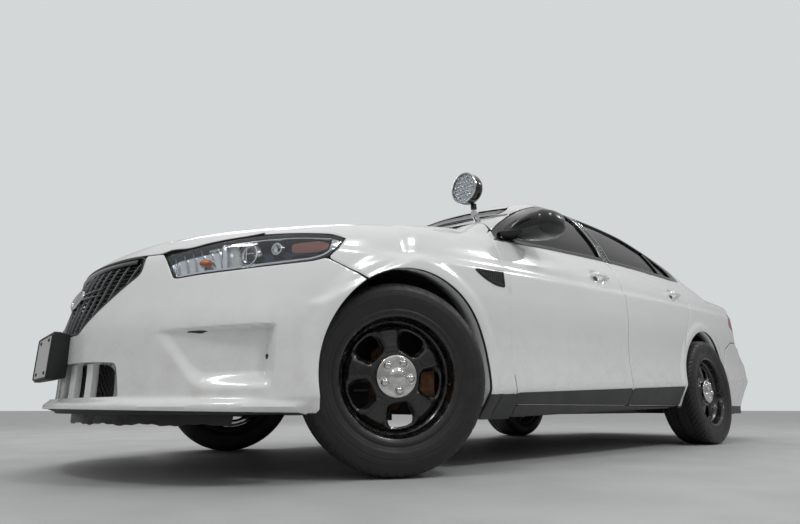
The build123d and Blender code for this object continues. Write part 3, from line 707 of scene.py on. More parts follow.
def make_finishes():
    """Every finish by the name of its slot.

    Orange peel, casting pits and moulded grain are too fine to show, so they are drawn two or three times
    as coarse as they are."""
    coat, coat_rough, metal, clear = "Coat Weight", "Coat Roughness", "Metallic", "Transmission Weight"
    return {
        # Two-stage gloss white car enamel: a faint orange peel, road film that thickens towards the sills
        "white_paint": finish("gloss_white_car_enamel", bpy.context.scene.saloon_colours.paint, 0.2,
                              (9, 1, 0.00003), (60, 6, 0.45, 0.75, 0.35, "#b9b4ab", 0.45), (0.75, 0.2),
                              {coat: 1.0, coat_rough: 0.04, "IOR": 1.5}),
        # Black electro-coat and chassis paint on pressed steel: satin, dusty in the low places
        "chassis_black": finish("black_electro_coat_on_steel", "#1c1c1d", 0.62,
                                wear=(90, 8, 0.4, 0.7, 0.6, "#4a4540", 0.62)),
        # Bare steel exhaust and tank, dull and browned by heat
        "bare_steel": finish("heat_browned_mild_steel", "#86807a", 0.5,
                             wear=(70, 8, 0.35, 0.65, 1.0, "#6a5546", 0.5), inputs={metal: 0.8}),
        # Sand-cast aluminium: matt and slightly pitted
        "cast_alloy": finish("sand_cast_aluminium", "#8d8f91", 0.55, (3, 3, 0.0003), inputs={metal: 0.9}),
        # Cast iron with a skin of brown rust
        "cast_iron": finish("rusty_cast_iron", "#4b3526", 0.75, (4, 5, 0.0004),
                            (25, 8, 0.35, 0.65, 1.0, "#7b5334", 0.75), inputs={metal: 0.25}),
        # Injection-moulded black polypropylene with a fine leather-like grain
        "black_plastic": finish("grained_black_polypropylene", "#1b1c1d", 0.55, (1.6, 2, 0.00012),
                                inputs={"IOR": 1.49}),
        # Piano-black acrylic: smooth and mirror-like
        "gloss_black": finish("piano_black_acrylic", "#08080a", 0.08,
                              inputs={"IOR": 1.49, coat: 0.6, coat_rough: 0.03}),
        # Woven polyester seat cloth: matt, with a soft edge of light
        "seat_cloth": finish("woven_polyester_seat_cloth", "#2a2a2d", 0.9, (3, 2, 0.0004),
                             inputs={"Sheen Weight": 0.3}),
        # Green-grey tinted tempered glass: dark, and mirror-like at a slant
        "tinted_glass": finish("dark_tinted_tempered_glass", "#2b3230", 0.0, inputs={"IOR": 1.5, clear: 0.9}),
        # Laminated windshield glass with a dark band of shade behind it, so it mirrors little
        "screen_glass": finish("laminated_green_glass", "#262d2c", 0.0,
                               inputs={"IOR": 1.5, "Specular IOR Level": 0.28, clear: 0.8}),
        # Clear hard-coated polycarbonate of a lamp cover
        "clear_lens": finish("clear_polycarbonate_lens", "#f4f6f7", 0.0, inputs={"IOR": 1.45, clear: 1.0}),
        # Transparent red, red-amber and amber acrylic over reflex cells, glossy and deep
        "red_lens": finish("red_acrylic_lens", "#8e0c10", 0.06,
                           inputs={"IOR": 1.49, coat: 1.0, coat_rough: 0.02}),
        "red_amber_lens": finish("red_amber_acrylic_reflector", "#8a3a24", 0.12, inputs={coat: 1.0}),
        "amber_lens": finish("amber_acrylic_lens", "#e0701a", 0.08,
                             inputs={"IOR": 1.49, coat: 1.0, coat_rough: 0.02}),
        # Gloss black baked enamel on a steel wheel, dulled by brake dust
        "wheel_black": finish("gloss_black_wheel_enamel", "#0b0b0c", 0.22,
                              wear=(30, 8, 0.45, 0.75, 0.5, "#3a332c", 0.5),
                              inputs={coat: 0.5, coat_rough: 0.1}),
        # Worn tyre rubber, greyed by road dust
        "tyre_rubber": finish("worn_tyre_rubber", "#101011", 0.45, (2, 4, 0.0002),
                              (45, 8, 0.45, 0.75, 0.6, "#2a2826", 0.81),
                              inputs={coat: 0.15, coat_rough: 0.3}),
        # Bright chromium plate on moulded plastic or steel
        "lamp_chrome": finish("bright_chromium_plate", "#d8dadc", 0.07, inputs={metal: 1.0}),
        # Chromed steel wheel cap, with a thin brown film of brake dust
        "cap_chrome": finish("chromed_steel_wheel_cap", "#dcdddd", 0.1,
                             wear=(40, 5, 0.45, 0.75, 0.45, "#97866c", 0.3), inputs={metal: 1.0}),
        # Vacuum-metallised lamp reflector, a little softer than chrome
        "reflector": finish("metallised_lamp_reflector", "#c9ccd0", 0.16, inputs={metal: 1.0}),
        # Metallised lamp tray tinted blue-grey, darker than the reflectors
        "lamp_dark": finish("tinted_metallised_lamp_tray", "#343d4a", 0.22, inputs={metal: 0.85}),
        # Moulded grille plastics: dark grey frame, satin silver uprights and a dull black net
        "grille_grey": finish("satin_dark_grey_moulding", "#26282a", 0.3, inputs={"IOR": 1.5}),
        "grille_light": finish("satin_silver_moulding", "#a9adaf", 0.3, inputs={metal: 0.5}),
        "net_black": finish("dull_black_moulded_net", "#101011", 0.6),
        # Painted shade: dark grey on cut edges, behind the gaps and on linings below a height, where no light
        # falls
        "gap_grey": finish("painted_shade_dark_grey", "#33363a", 0.7),
        # Dark grey fine-grained sill moulding, dusty
        "sill_grey": finish("grained_dark_grey_sill_moulding", "#343536", 0.5, (1.6, 2, 0.0001),
                            (120, 6, 0.4, 0.7, 0.5, "#4b4a48", 0.5)),
        # Satin black mirror shell, and silvered mirror glass
        "mirror_black": finish("satin_black_mirror_shell", "#161719", 0.25,
                               inputs={coat: 0.4, coat_rough: 0.15}),
        "mirror_glass": finish("silvered_mirror_glass", "#aeb4b6", 0.02, inputs={metal: 1.0}),
        # Blank plate of painted aluminium sheet
        "plate_grey": finish("painted_aluminium_plate", "#c9cac8", 0.4)}


# Outlines, as (t, z) seen from the side, (x, t) from above and (x, z) from in front or behind
front_door = [(533, 1064), (537, 986), (603, 313), (622, 262), (1664, 262), (1664, 900), (1650, 1108),
              (1606, 1430), (1588, 1492), (1460, 1490), (1280, 1458), (1111, 1396), (960, 1322), (792, 1236),
              (642, 1146), (556, 1076)]
rear_door = [(1672, 262), (2398, 262), (2410, 381), (2422, 470), (2480, 640), (2560, 780), (2640, 900),
             (2700, 1010), (2742, 1110), (2768, 1176), (2640, 1262), (2420, 1360), (2180, 1438),
             (1900, 1484), (1596, 1494), (1614, 1430), (1658, 1108), (1672, 900)]
door_hole = front_door[:4] + rear_door[1:15] + front_door[9:]
front_window = [(620, 1062), (732, 1066), (1006, 1091), (1393, 1119), (1604, 1133), (1566, 1440),
                (1552, 1464), (1460, 1463), (1290, 1430), (1125, 1372), (970, 1298), (805, 1213),
                (672, 1134)]
rear_window = [(1694, 1138), (2000, 1152), (2660, 1174), (2600, 1234), (2400, 1326), (2160, 1408),
               (1900, 1456), (1652, 1464)]
belt_rows = [(560, 1036), (1000, 1079), (1500, 1113), (2000, 1138), (2680, 1160)]
lamp_outline = [(-826, 686), (-762, 700), (-677, 714), (-585, 732), (-510, 747), (-441, 762), (-392, 783),
                (-342, 829), (-310, 869), (-352, 878), (-494, 866), (-597, 849), (-691, 825), (-840, 774)]
grille_outline = [(0, 792), (440, 786), (452, 712), (210, 506), (0, 500)]
intake_hole = [(0, 405), (320, 405), (438, 398), (458, 300), (462, 282), (0, 278)]
intake_inner = [(0, 395), (300, 394), (368, 388), (390, 368), (397, 292), (390, 286), (0, 285)]
windshield_outline = [(0, 1116), (400, 1110), (640, 1102), (688, 1124), (557, 1430), (530, 1446), (0, 1464)]
backlight_outline = [(0, 1176), (420, 1170), (640, 1154), (562, 1398), (524, 1434), (0, 1456)]
panel_gap = 8.0
# Behind the lamps, the linings are drawn in further than elsewhere, outside a distance from the middle
lamp_tray_room = 62.0
lamp_inner_x = 470.0
# Spacing of the points on a painted panel, in millimetres along its two flat axes
lattice = (13.0, 10.0)
# The middle of each door handle, as (t, z)
handle_places = [(1403.0, 972.0), (2440.0, 1008.0)]


def mirrored_rows(rows):
    """A half outline and its mirror image, closed."""
    return rows + [(-x, v) for x, v in reversed(rows) if x]


def grown(rows, amount):
    """A closed outline with its sides moved outwards, or inwards by a negative amount."""
    rows = np.array(rows, float)
    ahead = np.roll(rows, -1, axis=0) - rows
    area = (rows[:, 0] * np.roll(rows, -1, axis=0)[:, 1] - rows[:, 1] * np.roll(rows, -1, axis=0)[:, 0]).sum()
    ahead /= np.linalg.norm(ahead, axis=1, keepdims=True)
    side = np.column_stack([ahead[:, 1], -ahead[:, 0]]) * math.copysign(1, area)
    before = np.roll(side, 1, axis=0)
    split = before + side
    return rows + amount * split / (1 + (before * side).sum(1))[:, None]


def arc_rows(centre_t, radius, start, end, count=40):
    """Side-view points on a wheel opening between two angles, in degrees up from the rear."""
    a = np.radians(np.linspace(start, end, count))
    return np.column_stack([centre_t + radius * np.cos(a), axle_height + radius * np.sin(a)])


def path_on(place, rows, **how):
    """An open rounded path laid on the body."""
    return place(rounded(rows, closed=False, **how))


def side_loop(rows, **how):
    """A closed rounded outline laid on the left side."""
    return on_side(rounded(rows, **how))


def point_on(place, a, b):
    """One point laid on the body."""
    return place(np.array([(float(a), float(b))]))[0]


def level_row(view, start, end, count, height):
    """Evenly spaced points of the nose or tail at one height, between two arcs round it."""
    return on_view(view, np.column_stack([np.linspace(start, end, count), np.full(count, height)]))


def closed_across(half):
    """A half path from the middle of the car round to the middle, closed by its mirror image."""
    half[0, 0] = 0
    half[-1, 0] = 0
    return np.concatenate([half[:-1], half[:0:-1] * [-1, 1, 1]])


def angle_at(axle_t, t, z):
    """The angle up from the rear, in degrees, of a place seen from an axle."""
    return math.degrees(math.atan2(z - axle_height, t - axle_t))


def hood_loop():
    """The hood's shut line: along the grille, over the lamps, back beside the fenders and across the cowl."""
    lip = path_on(on_front, [(0, 797), (300, 796), (490, 791)])
    side = path_on(on_top, [(520, -822), (582, -784), (658, -695), (725, -602), (764, -420), (790, -300),
                            (806, 0), (790, 330)])
    cowl = path_on(on_top, [(790, 330), (640, 268), (400, 202), (0, 160)])
    return closed_across(np.concatenate([lip, side, cowl[1:]]))


def fender_loop():
    """The fender: over the wheel opening, up the door, forward beside the hood, back under the lamp."""
    start = angle_at(0, -238, 723)
    end = math.degrees(math.asin((200 - axle_height) / arch_front))
    arch = on_side(arc_rows(0, arch_front, start, end))
    rear = path_on(on_side, [(400, 200), (602, 200), (614, 262), (595, 313), (529, 986), (525, 1064),
                             (540, 1092)], sharp=14)
    top = path_on(on_top, [(862, 556), (800, 470), (798, 338), (814, 0), (798, -300), (772, -420),
                           (738, -560)])
    lamp = path_on(on_side, [(-585, 861), (-494, 873), (-350, 886), (-300, 872)], sharp=20)
    under = path_on(on_side, [(-304, 868), (-334, 826), (-383, 779), (-323, 757), (-246, 726)], sharp=10)
    return np.concatenate([arch, rear, top, lamp, under])


def bumper_loop():
    """The front bumper: round the lip, up the wheel opening, along the fender and lamp, under the hood."""
    top = path_on(on_front, [(0, 790), (300, 789), (500, 783)])
    lamp = path_on(on_side, [(-847, 770), (-829, 679), (-762, 693), (-677, 707), (-585, 725), (-510, 740),
                             (-441, 755), (-394, 774)], sharp=14)
    split = path_on(on_side, [(-394, 774), (-323, 749), (-254, 716)], sharp=12)
    start = angle_at(0, -248, 713)
    end = 180 - math.degrees(math.asin((231 - axle_height) / arch_front))
    arch = on_side(arc_rows(0, arch_front, start, end))
    corner = nose_flat(arch[-1:])[0]
    share = np.linspace(1, 0, 60)
    lip = np.column_stack([corner[0] * share, 246 - 15 * share ** 1.3])
    lip = on_view("nose", lip)
    half = np.concatenate([top, lamp, split[1:], arch, lip[1:]])
    return closed_across(half)


def side_loops():
    """One side of the body: sill, quarter panel, rear pillar, roof rail and front pillar, less the doors."""
    end = math.degrees(math.asin((250 - axle_height) / arch_rear))
    sill_end = wheelbase + arch_rear * math.cos(math.radians(180 - end))
    sill = path_on(on_side, [(610, 208), (1500, 232), (sill_end, 250)])
    start = angle_at(wheelbase, 3251, 560)
    arch = on_side(arc_rows(wheelbase, arch_rear, 180 - end, start, 60))
    bumper = path_on(on_side, [(3256, 566), (3326, 566), (3396, 706), (3556, 773), (3640, 775)], sharp=20)
    face = level_row("tail", tail_flat(bumper[-1:])[0, 0], 480, 30, 775.0)
    face = face[face[:, 0] > 700]
    lamp = tail_lamp_edge(4)
    lid_low = path_on(on_back, [(700, 784), (700, lamp[0, 2] - 2)])
    lid_high = path_on(on_back, [(700, lamp[-1, 2] + 2), (700, 1100)])
    lid = np.concatenate([lid_low, lamp, lid_high])
    deck = path_on(on_top, [(700, 3960), (698, 3880), (668, 3400), (618, 3140)])
    screen = path_on(on_back, [(648, 1152), (568, 1398), (556, 1412)], sharp=8)
    seam = path_on(on_top, [(556, 2380), (548, 1200)])
    header = path_on(on_front, [(548, 1450), (562, 1434), (694, 1128)], sharp=16)
    base = path_on(on_side, [(566, 1112), (552, 1094), (610, 1000)], sharp=8)[:1]
    hole = on_side(rounded(grown(door_hole, panel_gap)))
    return [np.concatenate([sill, arch, bumper, face, lid, deck, screen, seam, header, base]), hole]


# Dents and hollows pressed into the skin

def wedge_depth(x, t, z):
    """The wedge in the bumper's corner: it runs in from a sharp tip near the grille, under a straight upper
    edge, and gets deeper towards an upright wall before the wheel."""
    along = np.arctan2(x, nose_axis - t) * arc_scale
    tip, wall = 600.0, 1000.0
    share = np.clip((along - tip) / (wall - tip), 0, 1)
    top = 497 + 26 * share
    foot = 478 - 168 * smooth_step(0.0, 0.5, share) + 14 * share
    deep = 44 * share ** 0.8
    under_top = smooth_step(0, 12, top - z)
    over_foot = smooth_step(-4, 60, z - foot + 12)
    before_wall = 1 - smooth_step(wall - 10, wall + 26, along)
    return deep * under_top * over_foot * before_wall


def dressed(x, t, z):
    """The body with its pressed hollows: bumper corners, handle cups and the dish above the sills."""
    x = np.abs(x)
    out = body(x, t, z)
    near = (t < -200) & (z < 560) & (x > 300)
    out = out + np.where(near, wedge_depth(x, t, z), 0)
    for handle_t, handle_z in handle_places:
        across = ((t - handle_t + 8) / 62) ** 2 + ((z - handle_z) / 40) ** 2
        out = out + 15 * np.exp(-across ** 2 * 1.5) * (x > 700)
    return out


# The rest of the outlines

def tail_lamp_edge(amount=0.0):
    """The lamp's edge seen from the side, from its lower inner corner round the outside to its upper one."""
    rows = grown([(3900, 842), (3740, 838), (3560, 905), (3600, 1000), (3760, 1046), (3900, 1054)], amount)
    path = rounded(rows, closed=False, sharp=30)
    points = on_side(path[path[:, 0] < 3880])
    return points[points[:, 0] > 706 - amount]


def tail_lamp_loop(amount=0.0):
    """The lamp's whole outline, closed by a straight inner edge beside the trunk lid."""
    edge = tail_lamp_edge(amount)
    inner = path_on(on_back, [(706 - amount, edge[-1, 2]), (706 - amount, edge[0, 2])])
    return np.concatenate([edge, inner[1:-1]])


def roof_loop(amount=0.0):
    """The roof between the two screens and the rails."""
    side = 540 + amount
    front = path_on(on_front, [(0, 1464 - amount), (300, 1459 - amount), (side, 1446)])
    rear = path_on(on_back, [(side, 1412), (520, 1436), (0, 1456)])
    edge = path_on(on_top, [(side, front[-1, 1]), (side, rear[0, 1])])
    half = np.concatenate([front, edge[1:-1], rear])
    return closed_across(half)


def lid_loop():
    """The trunk lid: along the deck's front seam, down the quarter panels and across above the bumper."""
    front = path_on(on_top, [(0, 3204), (400, 3190), (606, 3164)])
    side = path_on(on_top, [(612, 3172), (660, 3400), (688, 3880)])
    drop = path_on(on_back, [(690, 1092), (690, 790), (0, 790)], sharp=24)
    side = side[side[:, 1] < drop[0, 1] - 4]
    half = np.concatenate([front, side, drop])
    return closed_across(half)


def deck_loop():
    """The strip between the rear screen and the trunk lid."""
    lid = path_on(on_top, [(0, 3192), (400, 3178), (600, 3150)])
    glass = path_on(on_back, [(642, 1156), (420, 1172), (0, 1178)])
    half = np.concatenate([lid, glass])
    return closed_across(half)


def cowl_loop():
    """The black cowl between the hood and the windshield, out to the foot of each front pillar."""
    hood = path_on(on_top, [(0, 172), (400, 214), (640, 280), (788, 340), (792, 470), (850, 560)], sharp=16)
    glass = path_on(on_front, [(690, 1124), (640, 1102), (400, 1110), (0, 1116)])
    half = np.concatenate([hood, glass])
    return closed_across(half)


def screen_loop(place, rows):
    """A screen's outline and its mirror image."""
    half = path_on(place, rows, sharp=36)
    return closed_across(half)


def rear_bumper_loop(low=205.0, high=765.0):
    """The rear bumper, from one wheel opening round the tail to the other."""
    start = angle_at(wheelbase, wheelbase + math.sqrt(arch_rear**2 - (axle_height - low)**2), low)
    end = angle_at(wheelbase, 3251, 558)
    arch = on_side(arc_rows(wheelbase, arch_rear, start, end, 60))
    side = path_on(on_side, [(3256, 558), (3334, 558), (3406, 696), (3562, 764), (3640, high)], sharp=20)
    corner = tail_flat(side[-1:])[0, 0]
    top = level_row("tail", corner, 0, 80, high)[1:]
    corner = tail_flat(arch[:1])[0, 0]
    foot = level_row("tail", 0, corner, 80, low)[:-1]
    half = np.concatenate([foot, arch, side, top])
    return closed_across(half)


def front_hole(rows, amount=0.0, sharp=26.0):
    """A hole in the nose from its half outline."""
    return on_front(rounded(grown(mirrored_rows(rows), amount), sharp=sharp))


# Skins and what lies under them

def skin(name, view, loops, body_name="body", sides=(1,), spacing=lattice, **how):
    """A painted panel for each side named: 1 as worked out, -1 mirrored, 0 for one across the car."""
    made = []
    part = panel(view, loops, spacing, **how)
    for side in sides:
        ending = {0: "", 1: "_left", -1: "_right"}[side]
        piece = mesh_piece(name + ending, part, "white_paint", body_name.replace("LR", ending[1:]),
                           side == -1)
        darken_edges(piece, how.get("shape", body))
        made.append(piece)
    return made


def darken_edges(piece, shape):
    """The cut edges of a skin are grey, as the gap beside them is in shadow.

    An edge face is one that turns over 57 degrees from the shape's normal and lies over 3 mm inside it."""
    mesh = piece.data
    # Painted shade: the cut edges beside the gaps are dark grey
    mesh.materials.append(finishes["gap_grey"])
    count = len(mesh.polygons)
    centres = np.empty(count * 3)
    normals = np.empty(count * 3)
    mesh.polygons.foreach_get("center", centres)
    mesh.polygons.foreach_get("normal", normals)
    places = centres.reshape(-1, 3) * 1000
    places[:, 1] -= front_axle_y
    side = places[:, 0] < 0
    places[side, 0] *= -1
    outward = slope(places, shape)
    outward[side, 0] *= -1
    edge = np.abs((outward * normals.reshape(-1, 3)).sum(1)) < 0.55
    edge &= (shape(*places.T) < -3.0) & (wedge_depth(*places.T) < 0.5)
    mesh.polygons.foreach_set("material_index", edge.astype(int))


def lining(node, depth=13.0, foot=None, dark=0.0):
    """A copy of a panel's CAD mesh with its outer face drawn in under the skin.

    The faces just under the skin are painted dark grey as shade, so the gaps look dark, and so is all below a
    height.
    A foot keeps the copy above a line of heights along the car, and behind a lamp it is drawn in under the
    tray."""
    source = bpy.data.objects[node]
    mesh = source.data.copy()
    mesh.name = node + "_lining"
    shell = bmesh.new()
    shell.from_mesh(mesh)
    bmesh.ops.remove_doubles(shell, verts=shell.verts, dist=1e-5)
    shell.to_mesh(mesh)
    shell.free()
    points = np.empty(len(mesh.vertices) * 3)
    mesh.vertices.foreach_get("co", points)
    points = points.reshape(-1, 3) * 1000
    points[:, 1] -= front_axle_y
    if foot:
        points[:, 2] = np.maximum(points[:, 2], foot(points[:, 1]))
    reach, _ = boundary_reach(points[:, 1:], [grown(lamp_outline, 8)])
    sunk = depth + np.where((reach > 0) & (np.abs(points[:, 0]) > lamp_inner_x), lamp_tray_room, 0)
    drawn = np.zeros(len(points), bool)
    for _ in range(3):
        over = dressed(*points.T) + sunk
        near = over > 0
        drawn |= near
        if near.any():
            points[near] -= slope(points[near]) * over[near, None]
    mesh.vertices.foreach_set("co", to_row(points).ravel())
    mesh.materials.clear()
    mesh.materials.append(finishes["white_paint"])
    # Painted shade: dark grey for the faces seen through the gaps and for all below a height
    mesh.materials.append(finishes["gap_grey"])
    for face in mesh.polygons:
        corners = list(face.vertices)
        face.material_index = int(drawn[corners].all() or points[corners, 2].max() < dark)
    mesh.update()
    piece = bpy.data.objects.new(node + "_lining", mesh)
    bpy.context.scene.collection.objects.link(piece)
    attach(piece, body_of(source)[0])


def cover(piece, node, **how):
    """A skin stands for a CAD node, and the node's lining lies under it."""
    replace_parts(piece, node)
    lining(node, **how)


def two_tone(piece, kind, where):
    """A second finish for the faces of a piece whose middles meet a test of t and z in millimetres."""
    piece.data.materials.append(finishes[kind])
    last = len(piece.data.materials) - 1
    for face in piece.data.polygons:
        _, y, z = face.center * 1000
        if where(y - front_axle_y, z):
            face.material_index = last


# Turned and swept forms

def grid_faces(rows, columns, wrap_rows=False, wrap_columns=False):
    """The cells of a grid of points, joined end to end where it wraps."""
    r, c = np.meshgrid(np.arange(rows if wrap_rows else rows - 1),
                       np.arange(columns if wrap_columns else columns - 1), indexing="ij")
    below = (r + 1) % rows
    beside = (c + 1) % columns
    return np.stack([r * columns + c, r * columns + beside, below * columns + beside, below * columns + c],
                    axis=-1).reshape(-1, 4)


def no_tris():
    """No triangles, for a part whose faces all have four sides."""
    return np.zeros((0, 3), int)


def lathe(profile, count=96, closed=True):
    """A profile of (along, radius) turned round the x axis: x = along, y = radius cos a, z = radius sin a."""
    profile = np.array(profile, float)
    turn = np.linspace(0, 2 * math.pi, count, endpoint=False)
    points = np.empty((len(profile), count, 3))
    points[..., 0] = profile[:, :1]
    points[..., 1] = profile[:, 1:] * np.cos(turn)
    points[..., 2] = profile[:, 1:] * np.sin(turn)
    return points.reshape(-1, 3), grid_faces(len(profile), count, closed, True), no_tris()


def eased_profile(rows, sharp=3.0, step=2.0, closed=True):
    """A profile whose corners are rounded, as even points."""
    return rounded(rows, sharp=sharp, gentle=sharp * 6, step=step, closed=closed)


def turned(rows, corner, step=1.6, count=96, closed=True):
    """A profile of (along, radius) with rounded corners, turned round the x axis."""
    return lathe(eased_profile(rows, corner, step, closed), count, closed)


def oval(width, height, count=12):
    """An ellipse as a section."""
    turn = np.linspace(0, 2 * math.pi, count, endpoint=False)
    return np.column_stack([width / 2 * np.cos(turn), height / 2 * np.sin(turn)])


def slab(width, height, corner):
    """A rectangle with round corners, centred."""
    a, b = width / 2, height / 2
    return rounded([(-a, -b), (a, -b), (a, b), (-a, b)], sharp=corner, step=max(corner, 1.0))


def swept(path, section, up=(0, 0, 1), closed=False, swell=None):
    """A section of (across, upward) points carried along a path, its upward side as near up as it can be.

    Each point is path + across side + upward rise, where side is the path's direction crossed with up."""
    path = np.array(path, float)
    section = np.array(section, float)
    if closed:
        ahead = np.roll(path, -1, axis=0) - np.roll(path, 1, axis=0)
    else:
        ahead = np.gradient(path, axis=0)
    ahead /= np.linalg.norm(ahead, axis=1, keepdims=True)
    up = np.broadcast_to(np.array(up, float), path.shape)
    side = np.cross(ahead, up)
    side /= np.linalg.norm(side, axis=1, keepdims=True)
    rise = np.cross(side, ahead)
    size = np.ones(len(path)) if swell is None else np.array(swell, float)
    across = section[:, 0][None, :, None] * size[:, None, None]
    upward = section[:, 1][None, :, None] * size[:, None, None]
    points = path[:, None] + across * side[:, None] + upward * rise[:, None]
    count = len(section)
    quads = grid_faces(len(path), count, closed, True)
    points = points.reshape(-1, 3)
    if closed:
        return points, quads, no_tris()
    ring = np.arange(count)
    start, end = len(points), len(points) + 1
    last = (len(path) - 1) * count
    tris = np.concatenate([np.column_stack([np.full(count, start), np.roll(ring, -1), ring]),
                           np.column_stack([np.full(count, end), last + ring, last + np.roll(ring, -1)])])
    return np.concatenate([points, path[:1], path[-1:]]), quads, tris


def moved(part, place):
    """A part with place(points) applied to its points."""
    return place(part[0]), part[1], part[2]


def turned_to(direction, centre):
    """A placing that carries the x axis onto a direction, with z as upright as it can be."""
    x = np.array(direction, float)
    x /= np.linalg.norm(x)
    y = np.cross([0, 0, 1.0], x)
    y = np.array([0, 1.0, 0]) if np.linalg.norm(y) < 1e-6 else y / np.linalg.norm(y)
    basis = np.array([x, y, np.cross(x, y)])
    return lambda points: points @ basis + np.array(centre, float)


# Wheels and tyres

hole_count = 5
hole_start = 63.0
steer = math.radians(-25.0)
wheel_hole = [(104, -31), (104, 31), (150, 51), (178, 47), (187, 20), (187, -20), (178, -47), (150, -51)]


def wheel_place(end, name):
    """A placing for one wheel: x outward, y rearward, z up from its centre, turned where it steers."""
    centre = np.array(joints[f"wheel_{end}_{name}_spin"]["pos_m"]) * 1000 - [0, front_axle_y, 0]
    side = 1 if name == "left" else -1
    angle = steer if end == "front" else 0.0
    out = np.array([math.cos(angle), math.sin(angle), 0])
    back = np.array([-math.sin(angle), math.cos(angle), 0])

    def place(points):
        return (points[:, :1] * side) * out + points[:, 1:2] * back + points[:, 2:] * [0, 0, 1.0] + centre

    return place


def hole_loops():
    """The outlines of the disc's hand holes, one turned to each place."""
    rows = rounded(wheel_hole, sharp=15, gentle=60, step=3.0)
    loops = []
    for number in range(hole_count):
        a = math.radians(hole_start + 360 * number / hole_count)
        loops.append(np.column_stack([rows[:, 0] * math.cos(a) - rows[:, 1] * math.sin(a),
                                      rows[:, 0] * math.sin(a) + rows[:, 1] * math.cos(a)]))
    return loops


def wheel_disc():
    """The pressed disc: a turned profile, pads raised between the holes, and each hole's edge turned in."""
    circle = np.linspace(0, 2 * math.pi, 200, endpoint=False)
    outer = 204 * np.column_stack([np.cos(circle), np.sin(circle)])
    inner = 34 * np.column_stack([np.cos(circle), np.sin(circle)])
    holes = hole_loops()
    flat, quads, tris = cut_lattice([outer, inner, *holes], np.array([3.6, 3.6]))
    radius = np.hypot(*flat.T)
    angle = np.degrees(np.arctan2(flat[:, 1], flat[:, 0])) - hole_start
    spoke = np.abs(angle % 72 - 36)
    face = np.interp(radius, [34, 84, 104, 128, 160, 186, 194, 200, 204],
                     [64, 64, 59, 54, 50, 47, 44, 36, 22])
    inward = smooth_step(92, 116, radius) * (1 - smooth_step(178, 194, radius))
    pad = 9 * (1 - smooth_step(9, 17, spoke)) * inward
    reach, _ = boundary_reach(flat, holes)
    lip = 8 * (1 - smooth_step(0, 9, np.abs(reach)))
    height = face + pad - lip
    points = np.column_stack([height, flat])
    unit = np.zeros_like(points)
    unit[:, 0] = 1
    turn = np.cross(points[quads[:, 1]] - points[quads[:, 0]], points[quads[:, 2]] - points[quads[:, 0]])
    if turn[:, 0].sum() < 0:
        quads = quads[:, ::-1]
        tris = tris[:, ::-1]
    return hemmed(points, unit, quads, tris, 4.0, 0.0)


def wheel_rim():
    """The rolled rim: flanges, bead seats, well and the ledge that the disc is welded to."""
    rows = [(112, 245), (105, 247.5), (101, 240), (99, 231), (84, 229), (60, 223), (44, 207), (-20, 207),
            (-62, 216), (-90, 229), (-99, 231), (-101, 240), (-105, 247.5), (-112, 245), (-109, 236),
            (-105, 225), (-90, 222), (-62, 209), (-22, 200), (38, 200), (52, 206), (60, 215), (82, 219),
            (92, 221), (104, 226), (109, 236)]
    return lathe(eased_profile(rows, 4.0, 2.6), 180)


def wheel_cap():
    """The bright cap: a shallow drum with a domed face, a boss in the middle and a bump over each nut."""
    rows = [(58, 79), (58, 82), (78, 82), (85, 80), (88.5, 75), (90, 62), (91, 44), (92, 30), (97, 24),
            (99.5, 16), (100.5, 8), (100.8, 0)]
    points, quads, tris = turned(rows, 2.5, 1.2, 220, closed=False)
    for number in range(hole_count):
        a = math.radians(hole_start + 360 * number / hole_count)
        out = np.hypot(points[:, 1] - 55 * math.cos(a), points[:, 2] - 55 * math.sin(a))
        dome = 9 * np.sqrt(np.clip(1 - (out / 14) ** 2, 0, 1)) - 2.2 * np.exp(-((out - 16.5) / 2.2) ** 2)
        points[:, 0] += np.where(points[:, 0] > 80, dome, 0)
    return points, quads, tris


# The rings pressed into a tyre's sidewall, as (radius, depth)
sidewall_ribs = ((300, 1.2), (322, 1.2), (268, 1.4))


def tyre(depth=6.0, blocks=64):
    """A tyre: a closed section turned round the axle, with rings, sipes and shoulder slots cut into it.

    The radius falls by depth in four grooves round the tread, and in slots that cross the shoulders."""
    rows = [(96, 228.6), (104, 229.5), (111, 238), (113, 249), (110.5, 254), (114, 262), (119, 276),
            (122, 294), (122.5, 306), (121, 320), (117, 334), (112, 344), (106, 352), (97, 358), (84, 361),
            (60, 363), (30, 363.5), (0, 363.5)]
    half = eased_profile(rows, 4.0, 2.0, closed=False)
    outer = np.concatenate([half, half[-2::-1] * [-1, 1]])
    inner = np.array([(-96, 230), (-92, 252), (-112, 300), (-104, 338), (-80, 350), (0, 353), (80, 350),
                      (104, 338), (112, 300), (92, 252), (96, 230)])
    profile = np.concatenate([outer, inner])
    count = blocks * 6
    points, quads, tris = lathe(profile, count, closed=True)
    points = points.reshape(len(profile), count, 3)
    x = profile[:, :1]
    r = profile[:, 1:]
    turn = np.arange(count)[None] / 6
    outside = (np.arange(len(profile)) < len(outer))[:, None]
    crown = outside & (r > 350)
    groove = np.zeros_like(x)
    for place in (-60, -21, 21, 60):
        groove = np.maximum(groove, 1 - smooth_step(3.6, 5.6, np.abs(x - place)))
    slant = (turn + np.abs(x) * 0.03) % 1.0
    slot = ((slant > 0.72) & (np.abs(x) > 66) & (np.abs(x) < 113)) * 1.0
    sipe = (((turn * 2 + x * 0.05) % 1.0) > 0.8) * 0.35 * (np.abs(x) < 56)
    cut = np.where(crown, depth * np.maximum(groove, np.maximum(slot * 0.8, sipe)), 0)
    shoulder = outside & (r > 330) & (r <= 350) & (np.abs(x) > 100)
    cut = cut + np.where(shoulder, 3.0 * slot, 0)
    ribs = outside & (r > 262) & (r < 330)
    for radius, proud in sidewall_ribs:
        cut = cut + np.where(ribs & (np.abs(r - radius) < 1.6), proud, 0)
    scale = (r - cut) / np.maximum(r, 1)
    points[..., 1:] *= scale[..., None]
    flank = outside & (np.abs(x) > 108) & (r < 345)
    points[..., 0] -= np.where(flank, np.sign(x) * cut * 0.8, 0)
    return points.reshape(-1, 3), quads, tris


